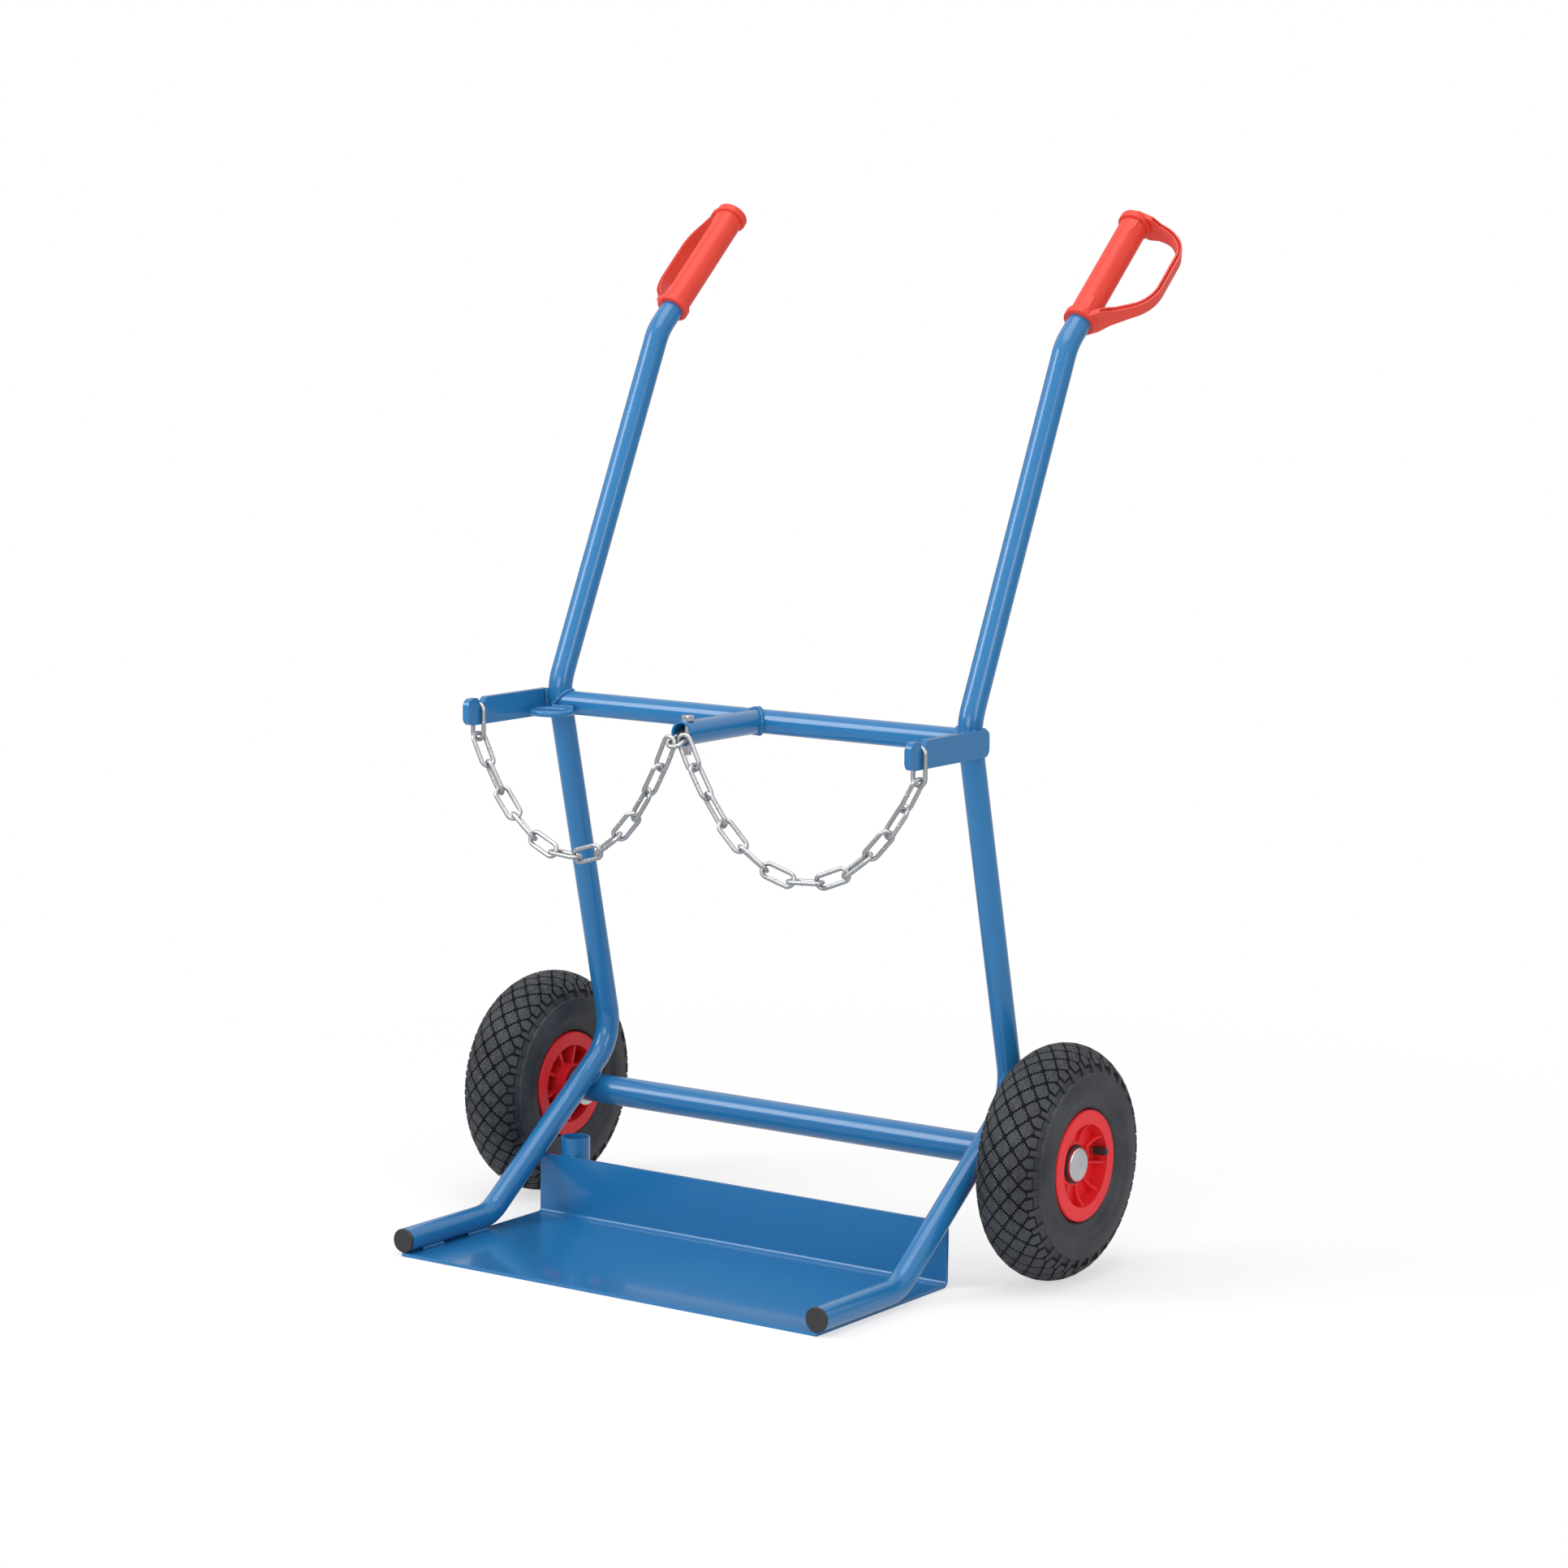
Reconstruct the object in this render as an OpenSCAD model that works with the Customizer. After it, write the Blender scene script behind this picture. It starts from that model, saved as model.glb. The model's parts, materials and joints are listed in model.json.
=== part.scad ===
// Two-wheeled trolley for a pair of gas cylinders: bent tube frame, folded toe plate,
// air-filled wheels, two hold-back chains, a holder for welding rods and plastic hand grips.
// Millimetres. +Z is up, the toe plate points to -Y, the floor is Z = 0, the axle is above Y = 0.

/* [Frame tubes] */
// outside diameter of the bent side tubes, the cross tube and the stub
tube_d = 26.9; // [25.9:0.1:28.4]
// wall of those tubes
tube_wall = 2.3; // [2:0.1:2.6]
// distance of each side tube from the middle of the trolley
side_x = 275; // [266:1:290]
// centre line radius of every tube bend
bend_r = 55; // [46:1:64]
// length of the straight run along the edge of the toe plate
front_run = 150; // [120:1:180]
// slope of the lower diagonal above the floor, degrees
diag_slope = 36.4; // [35:0.1:38]
// how far the diagonal runs on past the axle before the rear bend
knee_run = 54; // [48:1:62]
// forward lean of the lower upright, degrees
waist_lean = 14; // [11:0.5:17]
// length of the lower upright from rear bend to waist bend
waist_run = 434; // [412:1:452]
// backward lean of the upper upright, degrees
back_lean = 25; // [22:0.5:28]
// length of the upper upright from waist bend to handle bend
back_run = 442; // [420:1:470]
// backward lean of the handle, degrees
grip_lean = 48; // [45:0.5:52]
// length of the handle from its bend to the end of the tube
grip_run = 195; // [185:1:207]
// distance of the cross tube below the waist bend, along the upright
cross_drop = 17; // [12:1:24]
// gap left where one welded piece meets another
weld_gap = 0.05; // [0.02:0.01:0.1]

/* [Toe plate] */
// sheet thickness
plate_t = 4; // [3:0.5:5]
// how far the plate reaches past the middle of each side tube
plate_over = 1; // [0:0.5:6]
// height of the folded back wall above the floor
wall_top = 72; // [62:1:80]
// inside radius of the fold
fold_r = 4; // [2:0.5:6]

/* [Axle and wheels] */
// outside diameter of the axle tube under the diagonals
axle_tube_d = 33.7; // [32:0.1:36]
// diameter of the solid axle
axle_d = 25; // [23:0.5:26]
// radial running clearance of the wheel bushes on the axle
run_fit = 0.05; // [0.03:0.01:0.1]
// axial clearance between a turning wheel and the pieces that stand still
end_play = 0.4; // [0.3:0.05:0.8]
// outside diameter of the tyre
tyre_d = 260; // [252:1:270]
// width of the tyre
tyre_w = 85; // [80:1:88]
// rubber thickness of the tyre
tyre_wall = 6; // [5:0.5:7]
// distance of the middle of each wheel outside its side tube
wheel_out = 74; // [72:1:84]
// height of the tread band over the carcass
tread_h = 1; // [0.5:0.5:2]
// width of the tread band
tread_w = 66; // [60:1:72]
// width of the tyre beads
bead_w = 7.5; // [6:0.5:9]
// outside diameter of the rim flanges
rim_d = 122.4; // [118:0.5:126]
// inside diameter of the flat ring on the rim face
ring_d = 91; // [88:0.5:94]
// width of the rim over its flanges
rim_w = 71; // [68:0.5:74]
// seat diameter of the tyre beads
seat_d = 101.6; // [100.5:0.1:103]
// outside diameter of the wheel hub
hub_d = 49; // [47:0.5:54]
// reach of the hub past the rim, toward the frame
hub_past = 10.5; // [7:0.5:14]
// distance of the outer end of the hub behind the face of the rim
hub_set = 12.5; // [11:0.5:14]
// distance of the floor of the rim pockets behind the face of the rim
web_set = 15.5; // [14:0.5:18]
// thickness of that floor
web_t = 6; // [4:0.5:8]
// number of ribs in the rim
rib_count = 9; // [8:1:12]
// thickness of a rib
rib_t = 3.6; // [3:0.2:5]
// flange diameter of the black hub bushes
bush_d = 42; // [40:0.5:45]
// flange thickness of the hub bushes
bush_t = 2.5; // [2:0.1:3]
// diameter of the push-on cap at each end of the axle
cap_d = 38; // [36:0.5:40]
// diameter of the bright collar between frame and wheel
collar_d = 44; // [40:0.5:46]

/* [Chains and hooks] */
// wire diameter of the chain
wire_d = 5; // [4.6:0.1:5.2]
// inside width of a chain link
link_w = 10; // [9.8:0.1:10.6]
// inside length of a chain link
link_l = 35; // [34:0.5:37]
// number of links in each chain
link_count = 13; // [12:1:14]
// half turns of twist in each chain
half_twists = 1; // [0:1:1]
// play between neighbouring links
link_play = 0.7; // [0.6:0.05:0.9]
// thickness of the hook plates
hook_t = 8; // [6:0.5:8]
// height of the hook plates
hook_h = 30; // [28:1:34]
// length of the hook plates
hook_l = 155; // [145:1:165]
// corner radius of the hook plates
hook_r = 9; // [4:0.5:10]
// width of the chain slot
slot_w = 7; // [6.5:0.1:8]
// depth of the chain slot
slot_depth = 12; // [11:0.5:14]
// distance of the slot from the front end of the plate
slot_back = 23; // [19:1:27]
// length of the centre stub from the cross tube to its mouth
stub_l = 146; // [138:1:152]
// distance of the stub bolt behind the mouth
bolt_back = 12; // [11.5:0.5:13]
// thread diameter of the stub bolt
bolt_d = 8; // [7:0.5:8.5]
// width across the flats of its head and nut
bolt_af = 13; // [12.5:0.5:14]

/* [Welding rod holder] */
// outside diameter of the upper ring
ring_od = 52; // [48:1:58]
// bar diameter of the ring
ring_bar = 7; // [5:0.5:8]
// height of the middle of the cross tube above the ring
ring_drop = 7; // [4:1:12]
// distance of the middle of the ring inside the left side tube
ring_in = 17; // [16:1:40]
// outside diameter of the rod cup
cup_d = 33.7; // [30:0.1:38]
// wall of the rod cup
cup_wall = 2.6; // [2:0.1:3.2]
// height of the rim of the cup above the floor
cup_top = 92; // [86:1:110]
// length of the cup
cup_l = 78; // [60:1:82]
// distance of the cup inside the left side tube
cup_in = 33; // [26:1:60]

/* [Hand grips and plugs] */
// outside diameter of the hand grip
grip_d = 32; // [31:0.2:34]
// length of the hand grip
grip_l = 163; // [155:1:167]
// diameter of its end collars
grip_collar_d = 38; // [36:0.5:40]
// reach of the knuckle guard from the middle of the grip
guard_out = 66; // [60:1:72]
// thickness of the guard band
guard_t = 6; // [5:0.2:7]
// width of the guard band where it leaves the grip
guard_w = 32; // [28:1:34]
// width of the guard band along its outer side
guard_slim = 17; // [14:1:20]
// width of the groove along both edges of the band
groove_w = 1.8; // [1.2:0.1:2.4]
// depth of that groove
groove_depth = 4; // [2:0.5:8]
// turn of the guards toward the back, degrees
guard_turn = 23; // [10:1:28]
// thickness of the head of the black tube plugs
plug_head = 3; // [2:0.5:4]
// play of plastic pieces on or in the tube
push_fit = 0.05; // [0.02:0.01:0.1]

/* [Hidden] */
$fn = 64;

blue = [0.13, 0.36, 0.62];
red = [0.86, 0.2, 0.17];
black = [0.09, 0.09, 0.1];
zinc = [0.75, 0.76, 0.78];
brass = [0.72, 0.55, 0.25];

tube_r = tube_d / 2;
bore_r = tube_r - tube_wall;
// The wall thickens a little where the tube is bent.
bend_swell = 0.1;
axle_z = tyre_d / 2;
axle_tube_r = axle_tube_d / 2;

// Side tube path in the upright plane, as [y, z] corners.
function dir(a) = [cos(a), sin(a)];
waist_slope = 90 + waist_lean;
back_slope = 90 - back_lean;
grip_slope = 90 - grip_lean;
diag_up = [-sin(diag_slope), cos(diag_slope)];
over_axle = [0, axle_z] + (tube_r + axle_tube_r + weld_gap) * diag_up;
run_z = plate_t + tube_r + bend_swell + weld_gap;
p1 = over_axle + dir(diag_slope) * (run_z - over_axle[1]) / sin(diag_slope);
p0 = p1 - [front_run, 0];
p2 = over_axle + knee_run * dir(diag_slope);
p3 = p2 + waist_run * dir(waist_slope);
p4 = p3 + back_run * dir(back_slope);
p5 = p4 + grip_run * dir(grip_slope);
corners = [p0, p1, p2, p3, p4, p5];
slopes = [0, diag_slope, waist_slope, back_slope, grip_slope];
cross = p3 - cross_drop * dir(waist_slope);
function trim_at(i) = bend_r * tan(abs(slopes[i] - slopes[i - 1]) / 2);

// Toe plate: the wall stands where its top edge meets the underside of the diagonals.
under = [0, axle_z] + axle_tube_r * diag_up;
wall_y = under[0] + (wall_top - under[1]) / tan(diag_slope) + weld_gap;
toe_y = p0[0] - plug_head;
plate_half = side_x + plate_over;

// Wheels
wheel_x = side_x + wheel_out;
axle_tube_end = side_x + tube_r + 1.5;
hub_in = rim_w / 2 + hub_past;
hub_out = rim_w / 2 - hub_set;
hub_face_in = wheel_x - hub_in;
hub_face_out = wheel_x + hub_out;
tyre_r = tyre_d / 2;
section_r = tyre_w / 2;
section_at = tyre_r - section_r;
carcass_r = section_r - tread_h;
cavity_r = carcass_r - tyre_wall;
seat_r = seat_d / 2;
rim_r = rim_d / 2;
flange_in = rim_w / 2 - 8.5;
// The side wall starts clear of the rim flange, where the foot of the tyre meets it.
foot_rise = min(1, max(0, (section_at - rim_r - 1) / carcass_r));
foot_turn = 4 + max(asin(flange_in / carcass_r), acos(foot_rise));
foot_top = max(rim_r + 2, section_at - (cavity_r + 0.5) * cos(foot_turn));
bush_sleeve_r = axle_d / 2 + 3.5;
barrel_in = ring_d / 2;
valve_r = barrel_in - 7;
valve_turn = 14;
web_z = rim_w / 2 - web_set;
valve_z = web_z - web_t - 6;
valve_top = rim_w / 2 - 11.5;

// Chains
wire_r = wire_d / 2;
link_round = (link_w + wire_d) / 2;
link_half = link_l / 2 + wire_r - link_round;
link_apex = link_half + link_round;
link_gap = wire_d + link_play;
pitch = 2 * link_apex - link_gap;
hook_x = side_x + tube_r + bend_swell + weld_gap + hook_t / 2;
hook_back_y = cross[0] + 4;
hook_front_y = hook_back_y - hook_l;
slot_tilt = 14;
slot_y = hook_front_y + slot_back;
slot_z = cross[1] + hook_h / 2 - slot_depth;
mouth_y = cross[0] - stub_l;
bolt_y = mouth_y + bolt_back;
// The anchor link lies over the lower lip of the stub and slopes down out of its mouth.
anchor_slope = 25;
lip_drop = sqrt(max(0, pow(bore_r - wire_r - 0.1, 2) - pow(link_round, 2)));
anchor_back_y = bolt_y + bolt_d / 2 + wire_r + 0.1;
function anchor_z(y) = cross[1] - lip_drop - (mouth_y - y) * tan(anchor_slope);
anchor_mid = [anchor_back_y - link_apex * cos(anchor_slope),
  anchor_z(anchor_back_y) - link_apex * sin(anchor_slope)];
// The two top links hang one behind the other on the legs of the anchor link.
back_hang_y = mouth_y - wire_r - 2.6;
front_hang_y = back_hang_y - link_gap;

// Hanging shape of a chain of equal links: tan(tilt) grows by the same step from link to link.
hung = link_count - 1;
link_turn = 90 - 180 * (half_twists + (hung % 2) / 2) / hung;
ones = [for (i = [1:hung]) 1];
function tilt(i, k, c) = atan((i - c) * k);
function rise(k, c) = [for (i = [1:hung]) sin(tilt(i, k, c))] * ones;
function run(k, c) = [for (i = [1:hung]) cos(tilt(i, k, c))] * ones;
function find_c(k, want, lo, hi, n) = n == 0 ? (lo + hi) / 2 :
  rise(k, (lo + hi) / 2) > want ? find_c(k, want, (lo + hi) / 2, hi, n - 1) :
  find_c(k, want, lo, (lo + hi) / 2, n - 1);
function find_k(want_run, want_rise, lo, hi, n) = n == 0 ? (lo + hi) / 2 :
  run((lo + hi) / 2, find_c((lo + hi) / 2, want_rise, -9, 30, 40)) > want_run ?
  find_k(want_run, want_rise, (lo + hi) / 2, hi, n - 1) :
  find_k(want_run, want_rise, lo, (lo + hi) / 2, n - 1);
// The first link hangs by its crown in the slot, and the next one sits a little high in it.
hook_play = 0.3;
first_play = 1.5;
anchor_play = 0.7;
first_z = slot_z + hook_play - sqrt(pow(link_w / 2, 2) - pow(hook_t / 2, 2)) - link_half;
hang_z = first_z - pitch / 2 + first_play;
end_tilt = 66;
end_up = link_gap / 2 + anchor_play;
function goal(y) = [hook_x - link_round, y - slot_y, anchor_z(y) + end_up * sin(end_tilt) - hang_z];
function plan(y) = norm([goal(y)[0], goal(y)[1]]) + end_up * cos(end_tilt);
function sway(y) = find_k(plan(y) / pitch, goal(y)[2] / pitch, 0.02, 4, 40);
function low_at(y) = find_c(sway(y), goal(y)[2] / pitch, -9, 30, 40);
function tilts(y) = let (k = sway(y), c = low_at(y)) [for (i = [1:hung]) tilt(i, k, c)];
function joint(t, n) = n == 0 ? [0, hang_z] : joint(t, n - 1) + pitch * dir(t[n - 1]);

// Straight number i and bend number i of the side tube, in the plane X = 0, as pieces of tube.
module ring_2d(d, hole) {
  difference() {
    circle(d = d, $fn = 64);
    if (hole > 0) circle(d = hole, $fn = 64);
  }
}

module straight(i, d, hole) {
  a = corners[i] + dir(slopes[i]) * (i == 0 ? 0 : trim_at(i) - 0.4);
  b = corners[i + 1] - dir(slopes[i]) * (i == 4 ? 0 : trim_at(i + 1) - 0.4);
  rotate([90, 0, 90]) translate([a[0], a[1], 0]) rotate([0, 0, slopes[i]]) rotate([0, 90, 0])
    linear_extrude(height = norm(b - a)) ring_2d(d, hole);
}

module bend(i, d, hole) {
  turn = slopes[i] - slopes[i - 1];
  side = sign(turn);
  start = corners[i] - trim_at(i) * dir(slopes[i - 1]);
  mid = start + side * bend_r * [-sin(slopes[i - 1]), cos(slopes[i - 1])];
  rotate([90, 0, 90]) translate([mid[0], mid[1], 0])
    rotate([0, 0, slopes[i - 1] - side * 90 + min(turn, 0)])
      rotate_extrude(angle = abs(turn), $fn = 180) translate([bend_r, 0]) ring_2d(d, hole);
}

module side_tube() {
  color(blue) {
    for (i = [0:4]) straight(i, tube_d, 2 * bore_r);
    for (i = [1:4]) bend(i, tube_d + 2 * bend_swell, 2 * bore_r - 2 * bend_swell);
  }
}

module at_side(s) {
  translate([s * side_x, 0, 0]) children();
}

module left_side_tube() {
  at_side(-1) side_tube();
}

module right_side_tube() {
  at_side(1) side_tube();
}

// Tube lying along X, centred.
module bar_x(d, l) {
  rotate([0, 90, 0]) cylinder(d = d, h = l, center = true);
}

module cross_tube() {
  color(blue) difference() {
    translate([0, cross[0], cross[1]]) bar_x(tube_d, 2 * side_x);
    translate([0, cross[0], cross[1]]) bar_x(2 * bore_r, 2 * side_x + 2);
    for (s = [-1, 1]) at_side(s) straight(2, tube_d + 2 * weld_gap, 0);
    for (s = [-1, 1]) at_side(s) bend(3, tube_d + 2 * bend_swell + 2 * weld_gap, 0);
  }
}

module centre_stub() {
  color(blue) difference() {
    translate([0, cross[0], cross[1]]) rotate([90, 0, 0]) cylinder(d = tube_d, h = stub_l);
    translate([0, cross[0], cross[1]]) rotate([90, 0, 0]) cylinder(r = bore_r, h = stub_l + 1);
    translate([0, cross[0], cross[1]]) bar_x(tube_d + 2 * weld_gap, 4 * tube_d);
    translate([0, bolt_y, cross[1]]) cylinder(d = bolt_d + 0.4, h = 3 * tube_d, center = true);
  }
}

module axle_tube() {
  color(blue) translate([0, 0, axle_z]) difference() {
    bar_x(axle_tube_d, 2 * axle_tube_end);
    bar_x(axle_d + 2 * push_fit, 2 * axle_tube_end + 2);
  }
}

module axle() {
  end = hub_face_out + end_play + 1.6;
  color(zinc) translate([0, 0, axle_z]) {
    bar_x(axle_d, 2 * end - 2);
    for (s = [-1, 1]) translate([s * (end - 1), 0, 0]) rotate([0, s * 90, 0])
      cylinder(r1 = axle_d / 2, r2 = axle_d / 2 - 1, h = 1);
  }
}

// Folded sheet: flat toe, fold, low wall.
module toe_section() {
  translate([toe_y, 0]) square([wall_y - fold_r - toe_y, plate_t]);
  translate([wall_y, plate_t + fold_r]) square([plate_t, wall_top - plate_t - fold_r]);
  translate([wall_y - fold_r, plate_t + fold_r]) intersection() {
    difference() {
      circle(r = fold_r + plate_t);
      circle(r = fold_r);
    }
    translate([0, -fold_r - plate_t]) square(fold_r + plate_t);
  }
}

module toe_plate() {
  color(blue) rotate([90, 0, 90]) translate([0, 0, -plate_half])
    linear_extrude(height = 2 * plate_half) toe_section();
}

// Rounded bar from [0, 0] to [l, h].
module rounded_bar(l, h, r) {
  translate([r, 0]) square([l - 2 * r, h]);
  translate([0, r]) square([l, h - 2 * r]);
  for (x = [r, l - r], y = [r, h - r]) translate([x, y]) circle(r = r);
}

module hook_plate(s) {
  color(blue) translate([s * hook_x, 0, 0]) rotate([90, 0, 90]) translate([0, 0, -hook_t / 2])
    linear_extrude(height = hook_t) difference() {
      translate([hook_front_y, cross[1] - hook_h / 2]) rounded_bar(hook_l, hook_h, hook_r);
      translate([slot_y, slot_z + slot_w / 2]) circle(d = slot_w);
      translate([slot_y, slot_z + slot_w / 2]) rotate(-slot_tilt)
        translate([0.1 - slot_w / 2, 0]) square([slot_w - 0.2, hook_h]);
      translate([slot_y, cross[1] + hook_h / 2])
        polygon([[-slot_w, 1], [1.5 - slot_w / 2, -5], [slot_w / 2, -6.5], [slot_w + 5, 1]]);
    }
}

module left_hook_plate() {
  hook_plate(-1);
}

module right_hook_plate() {
  hook_plate(1);
}

module rod_ring() {
  bar_at = (ring_od - ring_bar) / 2;
  seat = sqrt(pow(tube_r + ring_bar / 2 + weld_gap, 2) - pow(ring_drop, 2));
  color(blue) translate([ring_in - side_x, cross[0] - seat - bar_at, cross[1] - ring_drop])
    rotate_extrude($fn = 96) translate([bar_at, 0]) circle(d = ring_bar, $fn = 48);
}

module rod_cup() {
  color(blue) translate([cup_in - side_x, wall_y + plate_t + cup_d / 2 + weld_gap, cup_top - cup_l])
    difference() {
      cylinder(d = cup_d, h = cup_l);
      translate([0, 0, 3]) cylinder(d = cup_d - 2 * cup_wall, h = cup_l);
    }
}

module tube_plug(s) {
  color(black) at_side(s) translate([0, p0[0], p0[1]]) rotate([90, 0, 0]) {
    rotate_extrude() {
      square([tube_r - 1.2, plug_head]);
      square([tube_r, plug_head - 1.2]);
      translate([tube_r - 1.2, plug_head - 1.2]) circle(r = 1.2);
    }
    translate([0, 0, -16]) difference() {
      cylinder(r = bore_r - push_fit, h = 16.5);
      translate([0, 0, -1]) cylinder(r = bore_r - 3, h = 14);
    }
  }
}

module left_tube_plug() {
  tube_plug(-1);
}

module right_tube_plug() {
  tube_plug(1);
}

// Outline of the knuckle guard, [out, along the grip], moved inward by t, corners rounded.
guard_line = [[0, -1.5], [10, 0], [guard_out, guard_out - 10], [guard_out, grip_l - 5], [0, grip_l + 3]];
guard_round = [0, 0, 58, 35, 0];
function unit(v) = v / norm(v);
function inward(a, b) = [-unit(b - a)[1], unit(b - a)[0]];
function inset(p, t) = [for (i = [0:len(p) - 1])
  let (a = p[(i + len(p) - 1) % len(p)], b = p[i], c = p[(i + 1) % len(p)],
    m = inward(a, b), n = inward(b, c))
  b + t * (m + n) / (1 + m * n)];

module rounded_outline(p, r) {
  k = len(p);
  function corner_in(i) = unit(p[(i + k - 1) % k] - p[i]);
  function corner_out(i) = unit(p[(i + 1) % k] - p[i]);
  function half(i) = acos(corner_in(i) * corner_out(i)) / 2;
  polygon([for (i = [0:k - 1], e = [0, 1])
    p[i] + (e == 0 ? corner_in(i) : corner_out(i)) * (r[i] / tan(half(i)))]);
  for (i = [0:k - 1]) if (r[i] > 0)
    translate(p[i] + unit(corner_in(i) + corner_out(i)) * r[i] / sin(half(i))) circle(r = r[i]);
}

module guard_shape(t) {
  rounded_outline(inset(guard_line, t), [for (r = guard_round) max(0, r - t)]);
}

// Room of the band seen along the grip: wide at the grip, slim along the outer side.
module guard_plan() {
  wide = guard_w / 2;
  slim = guard_slim / 2;
  near = grip_d / 2 + 3;
  mid = 0.45 * guard_out;
  far = 0.72 * guard_out;
  half = wide * 0.35 + slim * 0.65;
  polygon([[-1, -wide], [near, -wide], [mid, -half], [far, -slim], [2 * guard_out, -slim],
    [2 * guard_out, slim], [far, slim], [mid, half], [near, wide], [-1, wide]]);
}

// Knuckle guard with a groove along both edges of its band.
module guard_band() {
  difference() {
    intersection() {
      rotate([90, 0, 0]) translate([0, 0, -guard_w]) linear_extrude(height = 2 * guard_w) difference() {
        guard_shape(0);
        guard_shape(guard_t);
        translate([-2 * guard_out, -20]) square([2 * guard_out, grip_l + 40]);
      }
      translate([0, 0, -30]) linear_extrude(height = grip_l + 60) guard_plan();
    }
    rotate([90, 0, 0]) for (e = [0, 1]) mirror([0, 0, e])
      translate([0, 0, guard_slim / 2 - groove_depth]) linear_extrude(height = guard_w) intersection() {
        translate([grip_d / 2 + 2, -30]) square([2 * guard_out, grip_l + 60]);
        difference() {
          guard_shape((guard_t - groove_w) / 2);
          guard_shape((guard_t + groove_w) / 2);
        }
      }
  }
}

// Hand grip along +Z from its open end, guard toward +X.
module grip_body() {
  difference() {
    union() {
      rotate_extrude() {
        square([grip_d / 2, grip_l]);
        for (z = [0, grip_l - 9]) {
          translate([0, z]) square([grip_collar_d / 2 - 1.5, 9]);
          translate([0, z + 1.5]) square([grip_collar_d / 2, 6]);
          for (e = [1.5, 7.5]) translate([grip_collar_d / 2 - 1.5, z + e]) circle(r = 1.5);
        }
        translate([0, grip_l - 0.1]) square([grip_collar_d / 2 - 5, 3.1]);
      }
      guard_band();
    }
    translate([0, 0, -10]) cylinder(r = tube_r + push_fit, h = 10 + grip_l - 3);
  }
}

module grip(s) {
  foot = p5 - (grip_l - 3 - 0.5) * dir(grip_slope);
  color(red) at_side(s) translate([0, foot[0], foot[1]]) rotate([-grip_lean, 0, 0])
    rotate([0, 0, s * guard_turn]) mirror([s < 0 ? 1 : 0, 0, 0]) grip_body();
}

module left_grip() {
  grip(-1);
}

module right_grip() {
  grip(1);
}

module hex(h) {
  cylinder(d = bolt_af / cos(30), h = h, $fn = 6);
}

module stub_bolt() {
  color(zinc) translate([0, bolt_y, cross[1]]) {
    translate([0, 0, tube_r + weld_gap]) intersection() {
      hex(5.3);
      translate([0, 0, -1]) cylinder(r1 = bolt_af / 2 + 6.5, r2 = bolt_af / 2 - 0.2, h = 6.5);
    }
    translate([0, 0, -tube_r - 10.5]) cylinder(d = bolt_d, h = 2 * tube_r + 11);
  }
}

module stub_nut() {
  color(zinc) translate([0, bolt_y, cross[1] - tube_r - weld_gap - 6.5]) difference() {
    hex(6.5);
    translate([0, 0, -1]) cylinder(d = bolt_d + 2 * push_fit, h = 9);
  }
}

// One chain link along X, flat in the XY plane.
module link() {
  for (s = [0, 180]) rotate([0, 0, s]) translate([link_half, 0, 0]) rotate([0, 0, -90])
    rotate_extrude(angle = 180, $fn = 96) translate([link_round, 0]) circle(d = wire_d, $fn = 32);
  for (s = [-1, 1]) translate([0, s * link_round, 0]) rotate([0, 90, 0])
    cylinder(d = wire_d, h = 2 * link_half, center = true, $fn = 32);
}

module anchor_link() {
  color(zinc) translate([0, anchor_mid[0], anchor_mid[1]]) rotate([anchor_slope, 0, 0])
    rotate([0, 0, 90]) link();
}

// A chain drawn for the left side: the first link stands in the slot, the others hang from it.
module hanging_chain(y, turn) {
  t = tilts(y);
  heading = atan2(goal(y)[1], goal(y)[0]);
  color(zinc) translate([-hook_x, slot_y, 0]) {
    translate([0, 0, first_z]) rotate([0, 90, 0]) rotate([90, 0, 0]) link();
    rotate([0, 0, heading]) for (i = [1:hung]) {
      mid = (joint(t, i - 1) + joint(t, i)) / 2;
      translate([mid[0], 0, mid[1]]) rotate([0, -t[i - 1], 0]) rotate([90 + turn * i, 0, 0]) link();
    }
  }
}

module left_chain() {
  hanging_chain(front_hang_y, -link_turn);
}

module right_chain() {
  mirror([1, 0, 0]) hanging_chain(back_hang_y, link_turn);
}

// Pieces of a wheel turn about Z here, +Z away from the frame, with the wheel's middle at 0.
module at_wheel(s) {
  mirror([s < 0 ? 1 : 0, 0, 0]) translate([wheel_x, 0, axle_z]) rotate([0, 90, 0]) children();
}

module axle_collar(s) {
  color(zinc) at_wheel(s) translate([0, 0, axle_tube_end + weld_gap - wheel_x]) difference() {
    cylinder(d = collar_d, h = hub_face_in - axle_tube_end - weld_gap - end_play);
    translate([0, 0, -1]) cylinder(r = axle_d / 2 + push_fit, h = 40);
  }
}

module left_axle_collar() {
  axle_collar(-1);
}

module right_axle_collar() {
  axle_collar(1);
}

// Pressed cap with a rounded edge, a shallow dimple and an inner collar that grips the axle.
module hub_cap(s) {
  r = cap_d / 2;
  color(zinc) at_wheel(s) translate([0, 0, hub_out + end_play]) rotate_extrude() difference() {
    union() {
      square([r, 2]);
      square([r - 2.5, 4.5]);
      translate([r - 2.5, 2]) circle(r = 2.5);
    }
    translate([0, -1]) square([axle_d / 2 + push_fit, 2.65]);
    translate([0, 4.5]) circle(r = 1.8);
    translate([-r, -6]) square([2 * r, 6]);
    translate([-r, -6]) square([r, 20]);
  }
}

module left_hub_cap() {
  hub_cap(-1);
}

module right_hub_cap() {
  hub_cap(1);
}

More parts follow.
